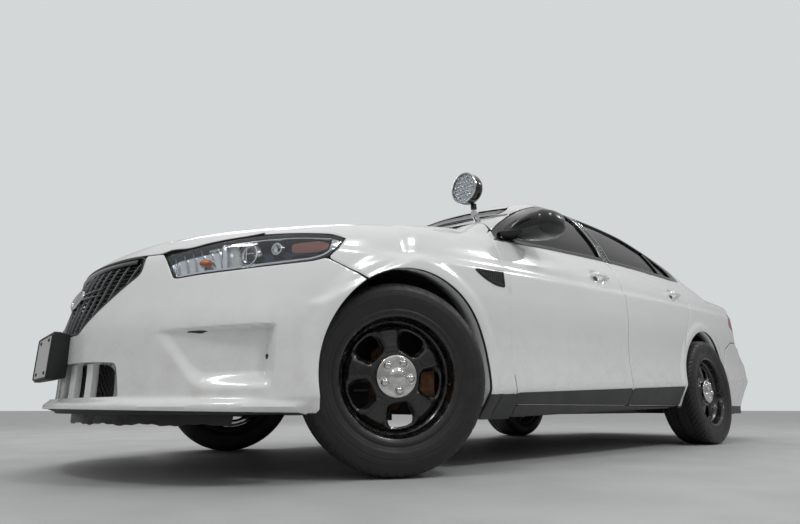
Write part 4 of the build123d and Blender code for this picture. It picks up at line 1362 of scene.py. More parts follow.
def build_wheels(sizes):
    """A disc, rim, cap, valve stem and tyre at each corner."""
    angle = math.radians(-8)
    stem = swept([(x, radius * math.cos(angle), radius * math.sin(angle))
                  for x, radius in ((64, 212), (82, 211), (98, 209))], oval(8, 8))
    rubber = tyre(sizes.tread_depth * 1000, sizes.tread_blocks)
    parts = (("wheel_disc", wheel_disc(), "wheel_black", 35, "wheel"),
             ("wheel_rim", wheel_rim(), "wheel_black", 35, None),
             ("wheel_cap", wheel_cap(), "cap_chrome", 40, None),
             ("valve_stem", stem, "tyre_rubber", 40, None),
             ("tyre_shell", rubber, "tyre_rubber", 34, "tyre"))
    for corner in ("front_left", "rear_left", "front_right", "rear_right"):
        place = wheel_place(*corner.split("_"))
        for name, part, kind, smooth, node in parts:
            piece = mesh_piece(f"{name}_{corner}", moved(part, place), kind, f"wheel_{corner}",
                               smooth=smooth, weld=True)
            if node:
                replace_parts(piece, f"{node}_{corner}")


# The body

def build_lower_body():
    """Hood, fenders, bumpers, doors, body sides, roof, trunk lid and the strips between them."""
    cover(skin("hood_skin", "plan", [hood_loop()], "hood")[0], "hood")
    fenders = skin("fender_skin", "girth", [fender_loop()], "body", (1, -1), shape=dressed)
    for piece in fenders:
        two_tone(piece, "sill_grey", lambda t, z: t > 380 and z < 304)
    cover(fenders[0], "fenders")
    holes = [front_hole(grille_outline, sharp=40), front_hole(intake_hole, sharp=24)]
    corners = (((-1080, -420, 2.6), (420, 1080, 2.6)), ((300, 545, 2.2),))
    bumper = skin("front_bumper_skin", "nose", [bumper_loop(), *holes], "body", (0,), (14, 10), shape=dressed,
                  bands=corners)
    cover(bumper[0], "front_bumper", foot=lambda t: 226.0, dark=270)
    sides = skin("body_side", "girth", side_loops(), "body", (1, -1), (15, 11))
    for piece in sides:
        two_tone(piece, "sill_grey", lambda t, z: t < 2500 and z < 262)
    cover(sides[0], "side_frames", foot=lambda t: np.where(t < 2500, 214 + (t - 603) * 0.022, 0), dark=320)
    cover(skin("roof_skin", "plan", [roof_loop()], "body", (0,), (16, 16))[0], "roof_panel")
    cover(skin("trunk_skin", "lid", [lid_loop()], "trunk_lid", (0,), (14, 12))[0], "trunk_lid")
    skin("deck_strip", "plan", [deck_loop()], "body", (0,), (14, 8), thick=3.0)
    rear = skin("rear_bumper_skin", "tail", [rear_bumper_loop()], "body", (0,), (14, 12))[0]
    two_tone(rear, "sill_grey", lambda t, z: z < 268)
    cover(rear, "rear_bumper", dark=290)
    cups = (((1330, 1480, 2.4), (2366, 2516, 2.4)), ((310, 450, 2.4),))
    belt = np.array(belt_rows).T
    for end, outline, window in (("front", front_door, front_window), ("rear", rear_door, rear_window)):
        loops = [side_loop(outline), side_loop(window, sharp=22)]
        doors = skin(f"door_{end}_skin", "girth", loops, f"{end}_door_LR", (1, -1), (15, 12), shape=dressed,
                     bands=cups)
        for piece, name in zip(doors, ("left", "right")):
            two_tone(piece, "gloss_black", lambda t, z: z > np.interp(t, *belt))
            cover(piece, f"door_{end}_{name}")


def build_glass():
    """The screens, set 5 mm in, and the panes of the doors, set 11 mm in."""
    front = panel("plan", [screen_loop(on_front, windshield_outline)], (22, 22), 5.0, 0.0, lift=-5.0)
    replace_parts(mesh_piece("windshield", front, "screen_glass"), "fixed_glass")
    rear = panel("plan", [screen_loop(on_back, backlight_outline)], (22, 22), 5.0, 0.0, lift=-5.0)
    mesh_piece("rear_screen", rear, "tinted_glass")
    for end, window in (("front", front_window), ("rear", rear_window)):
        pane = panel("girth", [side_loop(grown(window, 7), sharp=24)], (24, 20), 4.0, 0.0, lift=-11.0)
        panes = both_pieces(f"door_glass_{end}", pane, "tinted_glass", f"{end}_door_LR")
        for piece, name in zip(panes, ("left", "right")):
            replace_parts(piece, f"glass_{end}_{name}")


def build_cowl():
    """The black grained cowl below the windshield."""
    mesh_piece("cowl_cover", panel("plan", [cowl_loop()], (14, 10), 10.0, 1.0, lift=-9.0), "black_plastic")


# Bands and sheets that follow the skin

def follow(loop, sink, shape=body):
    """A loop moved into the body by a depth along its normals, and those normals."""
    normals = slope(loop, shape)
    return loop - normals * sink, normals


def band(loop, width, height, sink, corner=1.2, closed=True):
    """A strip of round-cornered section along a loop on the body, its middle sunk by a depth."""
    path, normals = follow(loop, sink)
    return swept(path, slab(width, height, corner), up=normals, closed=closed)


def strip(rows, width, height, sink, corner=1.2, place=on_side):
    """A band along an open rounded path laid on the body."""
    return band(path_on(place, rows), width, height, sink, corner, closed=False)


def sheet(view, loop, lift, spacing=(12, 12), thick=3.0, grow=0.4):
    """A thin panel inside one loop, lifted off the body or sunk into it by a negative lift."""
    return panel(view, [loop], spacing, thick, grow, lift=lift)


def ball(centre, radii, rows=14, columns=24):
    """An ellipsoid: centre + radii times a unit sphere."""
    up = np.linspace(-math.pi / 2, math.pi / 2, rows)[:, None]
    turn = np.linspace(0, 2 * math.pi, columns, endpoint=False)[None]
    unit = np.stack([np.cos(up) * np.cos(turn), np.cos(up) * np.sin(turn), np.sin(up) + turn * 0], axis=2)
    points = (unit * np.array(radii, float)).reshape(-1, 3) + centre
    return points, grid_faces(rows, columns, False, True), no_tris()


# Headlamps

def lamp_part(first, last, amount):
    """The stretch of the lamp between two places along it, 0 at the inner end and 1 at the outer tip.

    It is the lamp's outline drawn in by an amount, clipped, and put in order of angle about its middle."""
    outline = rounded(grown(lamp_outline, -amount), sharp=10)
    inner_t, length = -845, 535
    inside = (outline[:, 0] >= inner_t + length * first) & (outline[:, 0] <= inner_t + length * last)
    clipped = outline[inside]
    centre = clipped.mean(0)
    order = np.argsort(np.arctan2(clipped[:, 1] - centre[1], (clipped[:, 0] - centre[0]) * 0.35))
    return on_side(clipped[order])


def build_headlamps():
    """A clear cover over a dark tray with bright parts, a projector, a turn lamp and a side reflector."""
    lens = sheet("nose", side_loop(lamp_outline, sharp=10), 0.0, (16, 12), 3.0, 1.0)
    lens = both_pieces("headlamp_cover", lens, "clear_lens")
    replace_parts(lens[0], "headlamps")
    wall = side_loop(grown(lamp_outline, -2.5), sharp=10)
    both_pieces("headlamp_wall", band(wall, 2.0, 56, 33), "lamp_dark")
    # A black seal band sunk in the gap round the lamp, which also paints the gap's shade dark
    both_pieces("headlamp_gasket", band(side_loop(grown(lamp_outline, 3.5), sharp=12), 5.0, 12, 10),
                "black_plastic")
    both_pieces("headlamp_tray", sheet("nose", wall, -56.0, (16, 12), 3.0, 1.0), "lamp_dark")
    both_pieces("headlamp_inner_bay", sheet("nose", lamp_part(0.0, 0.26, 3), -26.0, (8, 8), 2.0, 0.2),
                "reflector")
    fins = [strip([(t, z), (t - 4, z + 82)], 2.0, 14, 20, 0.6)
            for t, z in zip(range(-822, -690, 22), range(704, 734, 5))]
    both_pieces("headlamp_fins", joined(*fins), "reflector")
    lower = [(-818, 694), (-762, 708), (-677, 722), (-585, 740), (-510, 756), (-444, 771), (-398, 791),
             (-352, 832)]
    upper = [(-700, 812), (-597, 838), (-494, 856), (-356, 868)]
    both_pieces("headlamp_bright_bezel", strip(lower, 7, 10, 12, 2), "reflector")
    both_pieces("headlamp_upper_bezel", strip(upper, 5, 10, 16, 2), "reflector")
    both_pieces("headlamp_divider", strip([(-702, 716), (-698, 814)], 16, 30, 24, 3), "reflector")
    ahead = (0.42, -0.9, -0.05)
    place = turned_to(ahead, point_on(on_side, -640, 780) + [-26, 30, -2])
    ring = turned([(-6, 44), (14, 41), (16, 36), (8, 33), (2, 24), (-4, 20), (-10, 44)], 1.5, count=72)
    both_pieces("projector_ring", moved(ring, place), "lamp_chrome", weld=True)
    both_pieces("projector_glass", moved(ball((0, 0, 0), (20, 29, 29)), place), "clear_lens", weld=True)
    # Painted highlight: a bright chrome cross in front of the projector lens stands for the cross-shaped
    # glint on it
    cross = joined(swept([(22, -32, 0), (24, 0, 0), (22, 32, 0)], slab(4, 4, 1)),
                   swept([(22, 0, -32), (24, 0, 0), (22, 0, 32)], slab(4, 4, 1), up=(0, 1, 0)))
    both_pieces("projector_cross", moved(cross, place), "lamp_chrome")
    place = turned_to(ahead, point_on(on_side, -553, 803) + [-26, 22, 0])
    ring = turned([(-4, 25), (12, 23), (13, 19), (4, 15), (-4, 5), (-8, 24)], 1.2, 1.2, 56)
    both_pieces("high_beam_ring", moved(ring, place), "lamp_chrome", weld=True)
    bulb = ball(point_on(on_side, -752, 742) + [-16, 17, -1], (30, 26, 13))
    both_pieces("turn_lamp_bulb", bulb, "amber_lens", weld=True)
    reflector = side_loop([(-508, 788), (-440, 796), (-392, 810), (-366, 842), (-400, 852), (-502, 826)],
                          sharp=8)
    both_pieces("side_reflector", sheet("nose", reflector, -12.0, (7, 7), 3.0, 0.5), "red_amber_lens")
    tip = side_loop([(-384, 806), (-336, 838), (-318, 866), (-352, 871), (-360, 844)], sharp=6)
    both_pieces("headlamp_tip", sheet("nose", tip, -12.0, (7, 7), 3.0, 0.3), "reflector")


# Grilles and plate

def nose_path(rows, sink):
    """An open path on the nose through front-view points, sunk by a depth, and its normals."""
    return follow(path_on(on_front, rows, step=8), sink)


def inside_rows(flat, outline):
    """The flat points that lie inside a closed outline."""
    reach, _ = boundary_reach(flat, [outline])
    return flat[reach > 0]


def by_angle(rows, sharp, squeeze, count):
    """A rounded outline's points at even angles about its middle, with x squeezed so that corners match."""
    path = rounded(mirrored_rows(rows), sharp=sharp, step=2)
    turn = np.arctan2(path[:, 1] - path[:, 1].mean(), path[:, 0] * squeeze)
    order = np.argsort(turn)
    at = np.linspace(-math.pi, math.pi, count, endpoint=False)
    return np.column_stack([np.interp(at, turn[order], path[order, i], period=2 * math.pi) for i in range(2)])


def bevelled(outer, inner, outer_sink, inner_sink, sharp, squeeze=0.35, count=220, thick=4.0):
    """A sloping frame on the nose from an outer outline down to an inner one, with a wall of a thickness."""
    rings = []
    for rows, sink, back in ((outer, outer_sink, 0), (inner, inner_sink, 0), (inner, inner_sink, thick),
                             (outer, outer_sink, thick)):
        ring, _ = follow(on_front(by_angle(rows, sharp, squeeze, count)), sink)
        rings.append(ring + [0, back, 0])
    return np.concatenate(rings), grid_faces(4, count, True, True), no_tris()


def build_upper_grille():
    """A dark frame round a black net of level bars and thin bright curved uprights."""
    full = mirrored_rows(grille_outline)
    inner_rows = [(0, 766), (424, 764), (430, 716), (202, 524), (0, 519)]
    surround = mesh_piece("grille_frame", bevelled(grille_outline, inner_rows, 1.0, 22.0, 34), "grille_grey",
                          weld=True)
    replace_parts(surround, "grilles")
    rim = on_front(rounded(grown(full, -4), sharp=36))
    mesh_piece("grille_rim", band(rim, 8, 9, 2, 3), "grille_grey")
    back = panel("nose", [on_front(rounded(full, sharp=40))], (20, 16), 3.0, 0.0, lift=-52.0)
    mesh_piece("grille_back", back, "net_black")
    inner = grown(full, -12)
    bars = []
    for z in np.arange(17) * 17.0 + 508:
        clear = inside_rows(np.column_stack([np.linspace(-470, 470, 400), np.full(400, z)]), inner)[:, 0]
        if len(clear) > 3:
            path, _ = nose_path([(clear[0], z), (0, z + 0.01), (clear[-1], z)], 24)
            bars.append(swept(path, slab(12, 3.4, 1.0)))
    mesh_piece("grille_bars", joined(*bars), "gloss_black")
    uprights = []
    z = np.linspace(500, 786, 120)
    share = (z - 500) / 290
    for number in (*range(-8, 0), *range(1, 9)):
        x = number * 58.0 * (0.78 + 0.22 * share ** 0.8) + math.copysign(26, number) * ((z - 640) / 290)
        flat = inside_rows(np.column_stack([x, z]), inner)
        if len(flat) > 11:
            path, normals = follow(on_front(flat[::6]), 16)
            uprights.append(swept(path, slab(2.6, 8, 1.0), up=normals))
    mesh_piece("grille_uprights", joined(*uprights), "grille_light")
    mesh_piece("grille_top_bar", strip([(-400, 772), (0, 777), (400, 772)], 26, 20, 12, 6, on_front),
               "gloss_black")
    build_ornament()


def build_ornament():
    """A plain bright oval with a black face in the middle of the grille, on four tapering black wings."""
    turn_out = turned_to((0, -1, 0.28), point_on(on_front, 0, 668) + [0, 16, 0])

    def place(points):
        return turn_out(points * [1, 1.7, 0.62])

    rim = turned([(0, 60), (8, 60), (13, 54), (11, 48), (4, 46), (0, 47)], 3)
    mesh_piece("grille_ornament_rim", moved(rim, place), "lamp_chrome", weld=True)
    face = turned([(-8, 50), (5, 48), (9, 30), (10, 0.01)], 4, closed=False)
    mesh_piece("grille_ornament_face", moved(face, place), "gloss_black", weld=True)
    wings = []
    for side in (-1, 1):
        for rise in (9, -9):
            path, normals = nose_path([(side * 92, 668 + rise), (side * 260, 668 + rise * 1.4)], 8)
            wings.append(swept(path, slab(9, 7, 2), up=normals, swell=np.linspace(1, 0.35, len(path))))
    mesh_piece("grille_ornament_wings", joined(*wings), "gloss_black")


def build_lower_intake():
    """The lower intake: a white bevelled surround, white uprights and a black diamond net behind them."""
    mesh_piece("intake_surround", bevelled(intake_hole, intake_inner, 1.0, 40.0, 20), "white_paint",
               weld=True)
    pillars = []
    for x, wide in ((-279, 40), (-150, 46), (-42, 46), (42, 46), (150, 46), (279, 40)):
        path, normals = nose_path([(x, 282), (x, 398)], 30)
        pillars.append(swept(path, slab(wide, 26, 4), up=normals))
    mesh_piece("intake_pillars", joined(*pillars), "white_paint", smooth=30)
    rods = []
    z = np.linspace(272, 404, 9)
    for lean in (-1, 1):
        for number in range(-26, 27):
            flat = np.column_stack([number * 22.0 + lean * (z - 338) * 0.8, z])
            flat = flat[np.abs(flat[:, 0]) < 418]
            if len(flat) > 2:
                path, normals = follow(on_front(flat), 46 + lean)
                rods.append(swept(path, oval(3.4, 3.4, 6), up=normals))
    mesh_piece("intake_net", joined(*rods), "net_black")
    back = on_front(rounded(grown(mirrored_rows(intake_inner), 12), sharp=20))
    mesh_piece("intake_back", panel("nose", [back], (20, 12), 3.0, 0.0, lift=-62.0), "net_black")


def build_plate():
    """A black bracket, a blank plate in it and four small screws."""
    low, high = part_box("plate_bracket")
    front = low[1] * 1000 - front_axle_y
    back = high[1] * 1000 - front_axle_y
    tall = high[2] * 1000 - low[2] * 1000
    middle = (low[2] * 1000 + high[2] * 1000) / 2
    block = swept([(0, front + 1, middle), (0, front + 20, middle), (0, back - 6, middle)],
                  slab(310, tall, 8),
                  swell=[1, 1, 0.9])
    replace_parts(mesh_piece("plate_holder", block, "black_plastic", smooth=30), "plate_bracket")
    plate = swept([(0, front - 3, middle), (0, front + 2, middle)], slab(300, 152, 10))
    mesh_piece("blank_plate", plate, "plate_grey", smooth=30)
    edge = slab(306, 158, 12)
    edge = np.column_stack([edge[:, 0], np.full(len(edge), front - 2.0), edge[:, 1] + middle])
    mesh_piece("plate_frame", swept(edge, oval(7, 9, 8), up=(0, -1, 0), closed=True), "black_plastic")
    head = turned([(0, 7), (3, 6.5), (5, 3), (5.4, 0.01)], 1, 0.8, 20, closed=False)
    screws = [moved(head, turned_to((0, -1, 0), (x, front - 2.5, middle + z))) for x in (-88.9, 88.9)
              for z in (-60.3, 60.3)]
    mesh_piece("plate_screws", joined(*screws), "black_plastic", weld=True)


def lower_edge(reach):
    """The nose's outline under the lip, out to an arc each side, and its level normals."""
    edge = level_row("nose", -reach, reach, 90, 214.0)
    normals = slope(edge) * [1, 1, 0]
    return edge, normals / np.linalg.norm(normals, axis=1, keepdims=True)


def build_air_dam():
    """The black rubber dam under the front lip, uneven along its length, and the underside behind it."""
    arc = np.linspace(-880, 880, 90)
    edge, normals = lower_edge(880)
    dam = edge - normals * 70
    dam[:, 2] = 213 + (3.0 * np.sin(arc / 37.0) + 2.0 * np.sin(arc / 11.0))
    mesh_piece("air_dam", swept(dam, slab(5, 44, 2)), "tyre_rubber")
    edge, normals = lower_edge(900)
    rows = np.stack([edge - normals * depth for depth in (10, 90, 190, 290)])
    rows[..., 2] = np.array([232, 233, 234, 235])[:, None]
    under = rows.reshape(-1, 3)
    quads = grid_faces(4, 90)
    border = boundary_edges(quads, no_tris())
    count = len(under)
    sides = np.column_stack([border[:, 1], border[:, 0], border[:, 0] + count, border[:, 1] + count])
    faces = np.concatenate([quads, quads[:, ::-1] + count, sides])
    tray = (np.concatenate([under, under + [0, 0, 3]]), faces, no_tris())
    mesh_piece("front_under_tray", tray, "black_plastic", weld=True)


# Trim of the sides

def sill_top(t):
    """The height of the sill cover's upper edge."""
    return 313 + (t - 603) * 0.0405


def sill_foot(t):
    """The height of the sill cover's lower edge."""
    return 214 + (t - 603) * 0.026


def build_side_trim():
    """Grey sill covers split at the doors, and vents in the fenders."""
    split = 265
    for name, first, last in (("front_door", 603, 1664), ("rear_door", 1672, 2404)):
        rows = [(first, sill_top(first)), (last, sill_top(last)), (last, split), (first, split)]
        part = sheet("girth", side_loop(rows, sharp=5, step=10), 2.5, (20, 9), 6.0, 1.5)
        both_pieces(name + "_sill_cover", part, "sill_grey", name + "_LR")
    end = wheelbase - math.sqrt(arch_rear ** 2 - (axle_height - 262) ** 2) - 6
    rows = [(624, 257), (end, 257), (end - 4, 252), (2380, sill_foot(2380)), (640, 216), (616, 222)]
    lower = sheet("girth", side_loop(rows, sharp=5, step=10), 2.5, (20, 8), 6.0, 1.5)
    both_pieces("sill_lower_cover", lower, "sill_grey")
    tail = side_loop([(506, 304), (594, 309), (612, 258), (606, 216), (478, 216)], sharp=6)
    both_pieces("fender_lower_cover", sheet("girth", tail, 2.5, (12, 8), 6.0, 1.5), "sill_grey")
    vent = [(326, 845), (526, 862), (533, 784), (470, 785), (390, 808)]
    both_pieces("fender_vent", sheet("girth", side_loop(vent, sharp=8), 2.0, (7, 6), 5.0, 1.2), "gloss_black")
    both_pieces("fender_vent_rim", band(side_loop(grown(vent, -9), sharp=6), 5, 5, -2, 1.5), "black_plastic")
    fins = [strip([(t, 806), (t + 3, 842)], 4, 3, -2, 1) for t in range(410, 527, 13)]
    both_pieces("fender_vent_fins", joined(*fins), "black_plastic")


def build_window_trim():
    """Black seals, belt strips and pillar covers, with a bright line down each side of the middle pillar."""
    belts = {"front": [(556, 1040), (1000, 1080), (1500, 1114), (1640, 1122)],
             "rear": [(1678, 1124), (2000, 1139), (2676, 1161)]}
    pillars = {"front": [(1612, 1116), (1648, 1116), (1604, 1434), (1590, 1470), (1556, 1462), (1570, 1434)],
               "rear": [(1664, 1118), (1690, 1122), (1644, 1440), (1640, 1470), (1602, 1474), (1616, 1434)]}
    lines = {"front": (0, 5), "rear": (1, 2)}
    for end, window in (("front", front_window), ("rear", rear_window)):
        seal = band(side_loop(grown(window, 1), sharp=22), 15, 13, 4, 3)
        both_pieces(f"window_seal_{end}", seal, "gloss_black", f"{end}_door_LR")
    for end, rows in belts.items():
        both_pieces(f"belt_strip_{end}", strip(rows, 7, 7, -1, 2), "gloss_black", f"{end}_door_LR")
    for end, rows in pillars.items():
        pillar = sheet("girth", side_loop(rows, sharp=6), 1.0, (8, 12), 4.0, 1.0)
        both_pieces(f"pillar_cover_{end}", pillar, "gloss_black", f"{end}_door_LR")
        line = strip([rows[i] for i in lines[end]], 4, 4, -3, 1)
        both_pieces(f"pillar_line_{end}", line, "lamp_chrome", f"{end}_door_LR")
    both_pieces("quarter_divider", strip([(2452, 1180), (2368, 1326)], 22, 12, 6, 3), "gloss_black",
                "rear_door_LR")


def build_handles():
    """White pull handles: a bar bowed out over each cup, with a lock barrel beside the front ones."""
    for end, (t, z) in zip(("front", "rear"), handle_places):
        path = path_on(on_side, [(t - 78, z), (t - 66, z + 1), (t - 40, z + 2), (t, z + 4), (t + 44, z + 5),
                                 (t + 66, z + 6), (t + 78, z + 6)], step=8)
        normals = slope(path)
        rise = 34 * (1 - np.abs(np.linspace(-1, 1, len(path))) ** 6) - 6
        bar = swept(path + normals * rise[:, None], slab(26, 15, 6.5), up=normals)
        both_pieces(f"door_handle_{end}", bar, "white_paint", f"{end}_door_LR", 60)
        if end == "front":
            spot = on_side(np.array([(t + 96, z + 6)]))
            barrel = turned([(-4, 9), (14, 9), (16, 6), (16.5, 0.01)], 1.5, 1, 28, closed=False)
            barrel = moved(barrel, turned_to(slope(spot)[0], spot[0]))
            both_pieces("door_lock_barrel", barrel, "lamp_chrome", "front_door_LR", weld=True)


def mirror_shell():
    """A loft of rounded squares out from the door, closed by a fan at each end.

    Each row is its middle plus its half sizes times |cos|^0.72 and |sin|^0.72 with their signs, flattened a
    little to the rear."""
    stations = np.array([(880, 722, 1106, 40, 16), (905, 748, 1116, 66, 40), (945, 772, 1126, 88, 60),
                         (1000, 786, 1131, 98, 70), (1060, 790, 1131, 98, 69), (1096, 794, 1130, 80, 55),
                         (1113, 796, 1129, 52, 36), (1119, 797, 1128, 20, 14)], float)
    rows, columns = 26, 40
    share = (stations[:, 0] - stations[0, 0]) / (stations[-1, 0] - stations[0, 0])
    at = np.linspace(0, 1, rows)
    x, t, z, deep, tall = [np.interp(at, share, station)[:, None] for station in stations.T]
    turn = np.linspace(0, 2 * math.pi, columns, endpoint=False)
    back = np.sign(np.cos(turn)) * np.abs(np.cos(turn)) ** 0.72
    rise = np.sign(np.sin(turn)) * np.abs(np.sin(turn)) ** 0.72
    points = np.stack([x + 0 * back, t + deep * back * np.where(back > 0, 0.86, 1.0), z + tall * rise],
                      axis=2)
    ring = np.arange(columns)
    after = np.roll(ring, -1)
    count = rows * columns
    last = count - columns
    tris = np.concatenate([np.column_stack([np.full(columns, count), after, ring]),
                           np.column_stack([np.full(columns, count + 1), last + ring, last + after])])
    middles = points[[0, -1]].mean(1)
    return np.concatenate([points.reshape(-1, 3), middles]), grid_faces(rows, columns, False, True), tris


def build_mirrors():
    """Two-tone mirrors: a rounded shell on a wedge-shaped arm, with a glass facing back."""
    shells = both_pieces("mirror_shell", mirror_shell(), "mirror_black", "front_door_LR", 50, weld=True)
    for piece, name in zip(shells, ("left", "right")):
        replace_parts(piece, f"mirror_{name}")
    seam = np.column_stack([np.linspace(884, 1110, 30), 792 - 104 * np.sin(np.linspace(0.5, 2.9, 30)) ** 0.5,
                            1112 + 16 * np.sin(np.linspace(0.2, 2.6, 30))])
    both_pieces("mirror_seam", swept(seam, oval(10, 7)), "black_plastic", "front_door_LR")
    arm = swept([(846, 668, 1088), (880, 690, 1092), (930, 722, 1100), (985, 752, 1106)], slab(92, 30, 13),
                swell=[1.25, 1.1, 0.95, 0.8])
    both_pieces("mirror_arm", arm, "black_plastic", "front_door_LR", 50)
    glass = turned([(0, 0.01), (0, 60), (3, 61), (4, 58), (4, 0.01)], 1, 3, 60, closed=False)
    place = turned_to((-0.12, 1, 0), (1008, 868, 1131))
    both_pieces("mirror_glass", moved(glass, lambda points: place(points * [1, 1.38, 0.92])), "mirror_glass",
                "front_door_LR", weld=True)


def spotlight_dishes(radius=71.0, pitch=21.0, rows=40, columns=160):
    """A disc of many small dishes, closed by a flat back.

    The bowls stand on a triangular grid. Each rises with the square of the distance from its middle, and has
    a small round light at the bottom."""
    out = np.linspace(0, radius, rows)[:, None]
    turn = np.linspace(0, 2 * math.pi, columns, endpoint=False)[None]
    u, v = out * np.cos(turn), out * np.sin(turn)
    row = np.round(v / (pitch * 0.866))
    shift = (row % 2) * pitch / 2
    off = np.hypot(u - shift - pitch * np.round((u - shift) / pitch), v - row * pitch * 0.866)
    bowl = -17 + 9 * np.clip(off / (pitch * 0.56), 0, 1) ** 2
    light = 6 * np.exp(-(off / 2.6) ** 2)
    face = np.stack([bowl + light, u, v], axis=2).reshape(-1, 3)
    back = np.stack([np.full_like(u, -24), u, v], axis=2)[::-1].reshape(-1, 3)
    return np.concatenate([face, back]), grid_faces(2 * rows, columns, True, True), no_tris()


def build_spotlight():
    """A round lamp of many small dishes in a black shell with a bright bezel, on a bright elbow."""
    x, swivel_t, z = np.array(joints["spotlight_swivel"]["pos_m"]) * 1000 - [0, front_axle_y, 0]
    place = turned_to((0, -1, 0), (x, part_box("spotlight_head")[0][1] * 1000 - front_axle_y, z))
    shell = turned([(-2, 70), (-6, 77), (-40, 78), (-62, 74), (-84, 56), (-98, 34), (-104, 14), (-105, 0.01)],
                   8, 2.4, closed=False)
    bezel = turned([(-12, 78.5), (-2, 78.5), (0, 75), (-1, 71), (-6, 70), (-14, 74)], 1.5, 1.2)
    lens = turned([(-4, 0.01), (-4, 70), (-1.5, 70.5), (0.5, 60), (1.5, 0.01)], 1, 3, 72, closed=False)
    for name, part, kind, smooth in (("shell", shell, "gloss_black", 40), ("bezel", bezel, "lamp_chrome", 40),
                                     ("dishes", spotlight_dishes(), "reflector", 50),
                                     ("cover", lens, "clear_lens", 40)):
        mesh_piece(f"spotlight_{name}", moved(part, place), kind, "spotlight", smooth=smooth, weld=True)
    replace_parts(bpy.data.objects["spotlight_shell"], "spotlight_head")
    neck = swept([(x, swivel_t, z - 70), (x, swivel_t, z - 84), (x, swivel_t + 2, z - 98)], oval(30, 30, 20),
                 up=(0, 1, 0))
    mesh_piece("spotlight_neck", neck, "gloss_black", "spotlight", smooth=50)
    nut = turned([(-7, 0.01), (-7, 19), (7, 19), (7, 0.01)], 2, 1.5, 6, closed=False)
    nuts = [moved(nut, turned_to((0.4, -0.6, 0.7), (x - 4 - 9 * k, swivel_t + 14 + 38 * k, z - 116 - 44 * k)))
            for k in (0, 1, 2)]
    mesh_piece("spotlight_elbow_nuts", joined(*nuts), "lamp_chrome", smooth=30, weld=True)


# Tail

def build_tail():
    """Red tail lamps over dark trays, black valance and plate recess, a bright strip and two pipes."""
    lens = both_pieces("tail_lamp_lens", sheet("girth", tail_lamp_loop(-3), 0.0, (9, 9), 3.0, 1.0),
                       "red_lens")
    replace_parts(lens[0], "tail_lamps")
    both_pieces("tail_lamp_tray", sheet("girth", tail_lamp_loop(0), -24.0, (12, 12), 3.0, 0.0), "lamp_dark")
    both_pieces("tail_lamp_wall", band(tail_lamp_loop(-1), 3, 22, 13), "lamp_dark")
    mesh_piece("trunk_bright_strip", strip([(-560, 940), (0, 946), (560, 940)], 22, 9, 0, 4, on_back),
               "lamp_chrome",
               "trunk_lid")
    recess = on_back(rounded([(-260, 860), (260, 860), (240, 790), (-240, 790)], sharp=14))
    mesh_piece("rear_plate_recess", sheet("tail", recess, 0.6, (14, 10), 3.0, 0.8), "gloss_black",
               "trunk_lid")
    valance = on_back(rounded([(-560, 330), (560, 330), (620, 222), (-620, 222)], sharp=20))
    mesh_piece("rear_valance", sheet("tail", valance, 1.5, (20, 12), 5.0, 1.5), "black_plastic")
    pipe = turned([(-60, 38), (6, 38), (8, 35), (4, 33), (-60, 33)], 2, 3, 48)
    for name, x in (("right", -500), ("left", 500)):
        place = turned_to((0, 1, 0), point_on(on_back, x, 285) + [0, -4, 0])
        mesh_piece("tail_pipe_" + name, moved(pipe, place), "lamp_chrome", weld=True)


def finish_nodes():
    """The frame's own pieces get the finish of their slot."""
    for piece in bpy.data.objects:
        if "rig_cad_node" not in piece:
            continue
        for slot in piece.material_slots:
            name = slot.material.name.split(".")[0] if slot.material else ""
            if name not in finishes:
                raise RuntimeError(f"no finish for slot {name} of {piece.name}")
            slot.material = finishes[name]


# Stage, lights and camera

camera_place = (2.4787, -2.9114, 0.2462)
camera_yaw = 49.33
camera_pitch = 15.27
camera_lens = 24.1


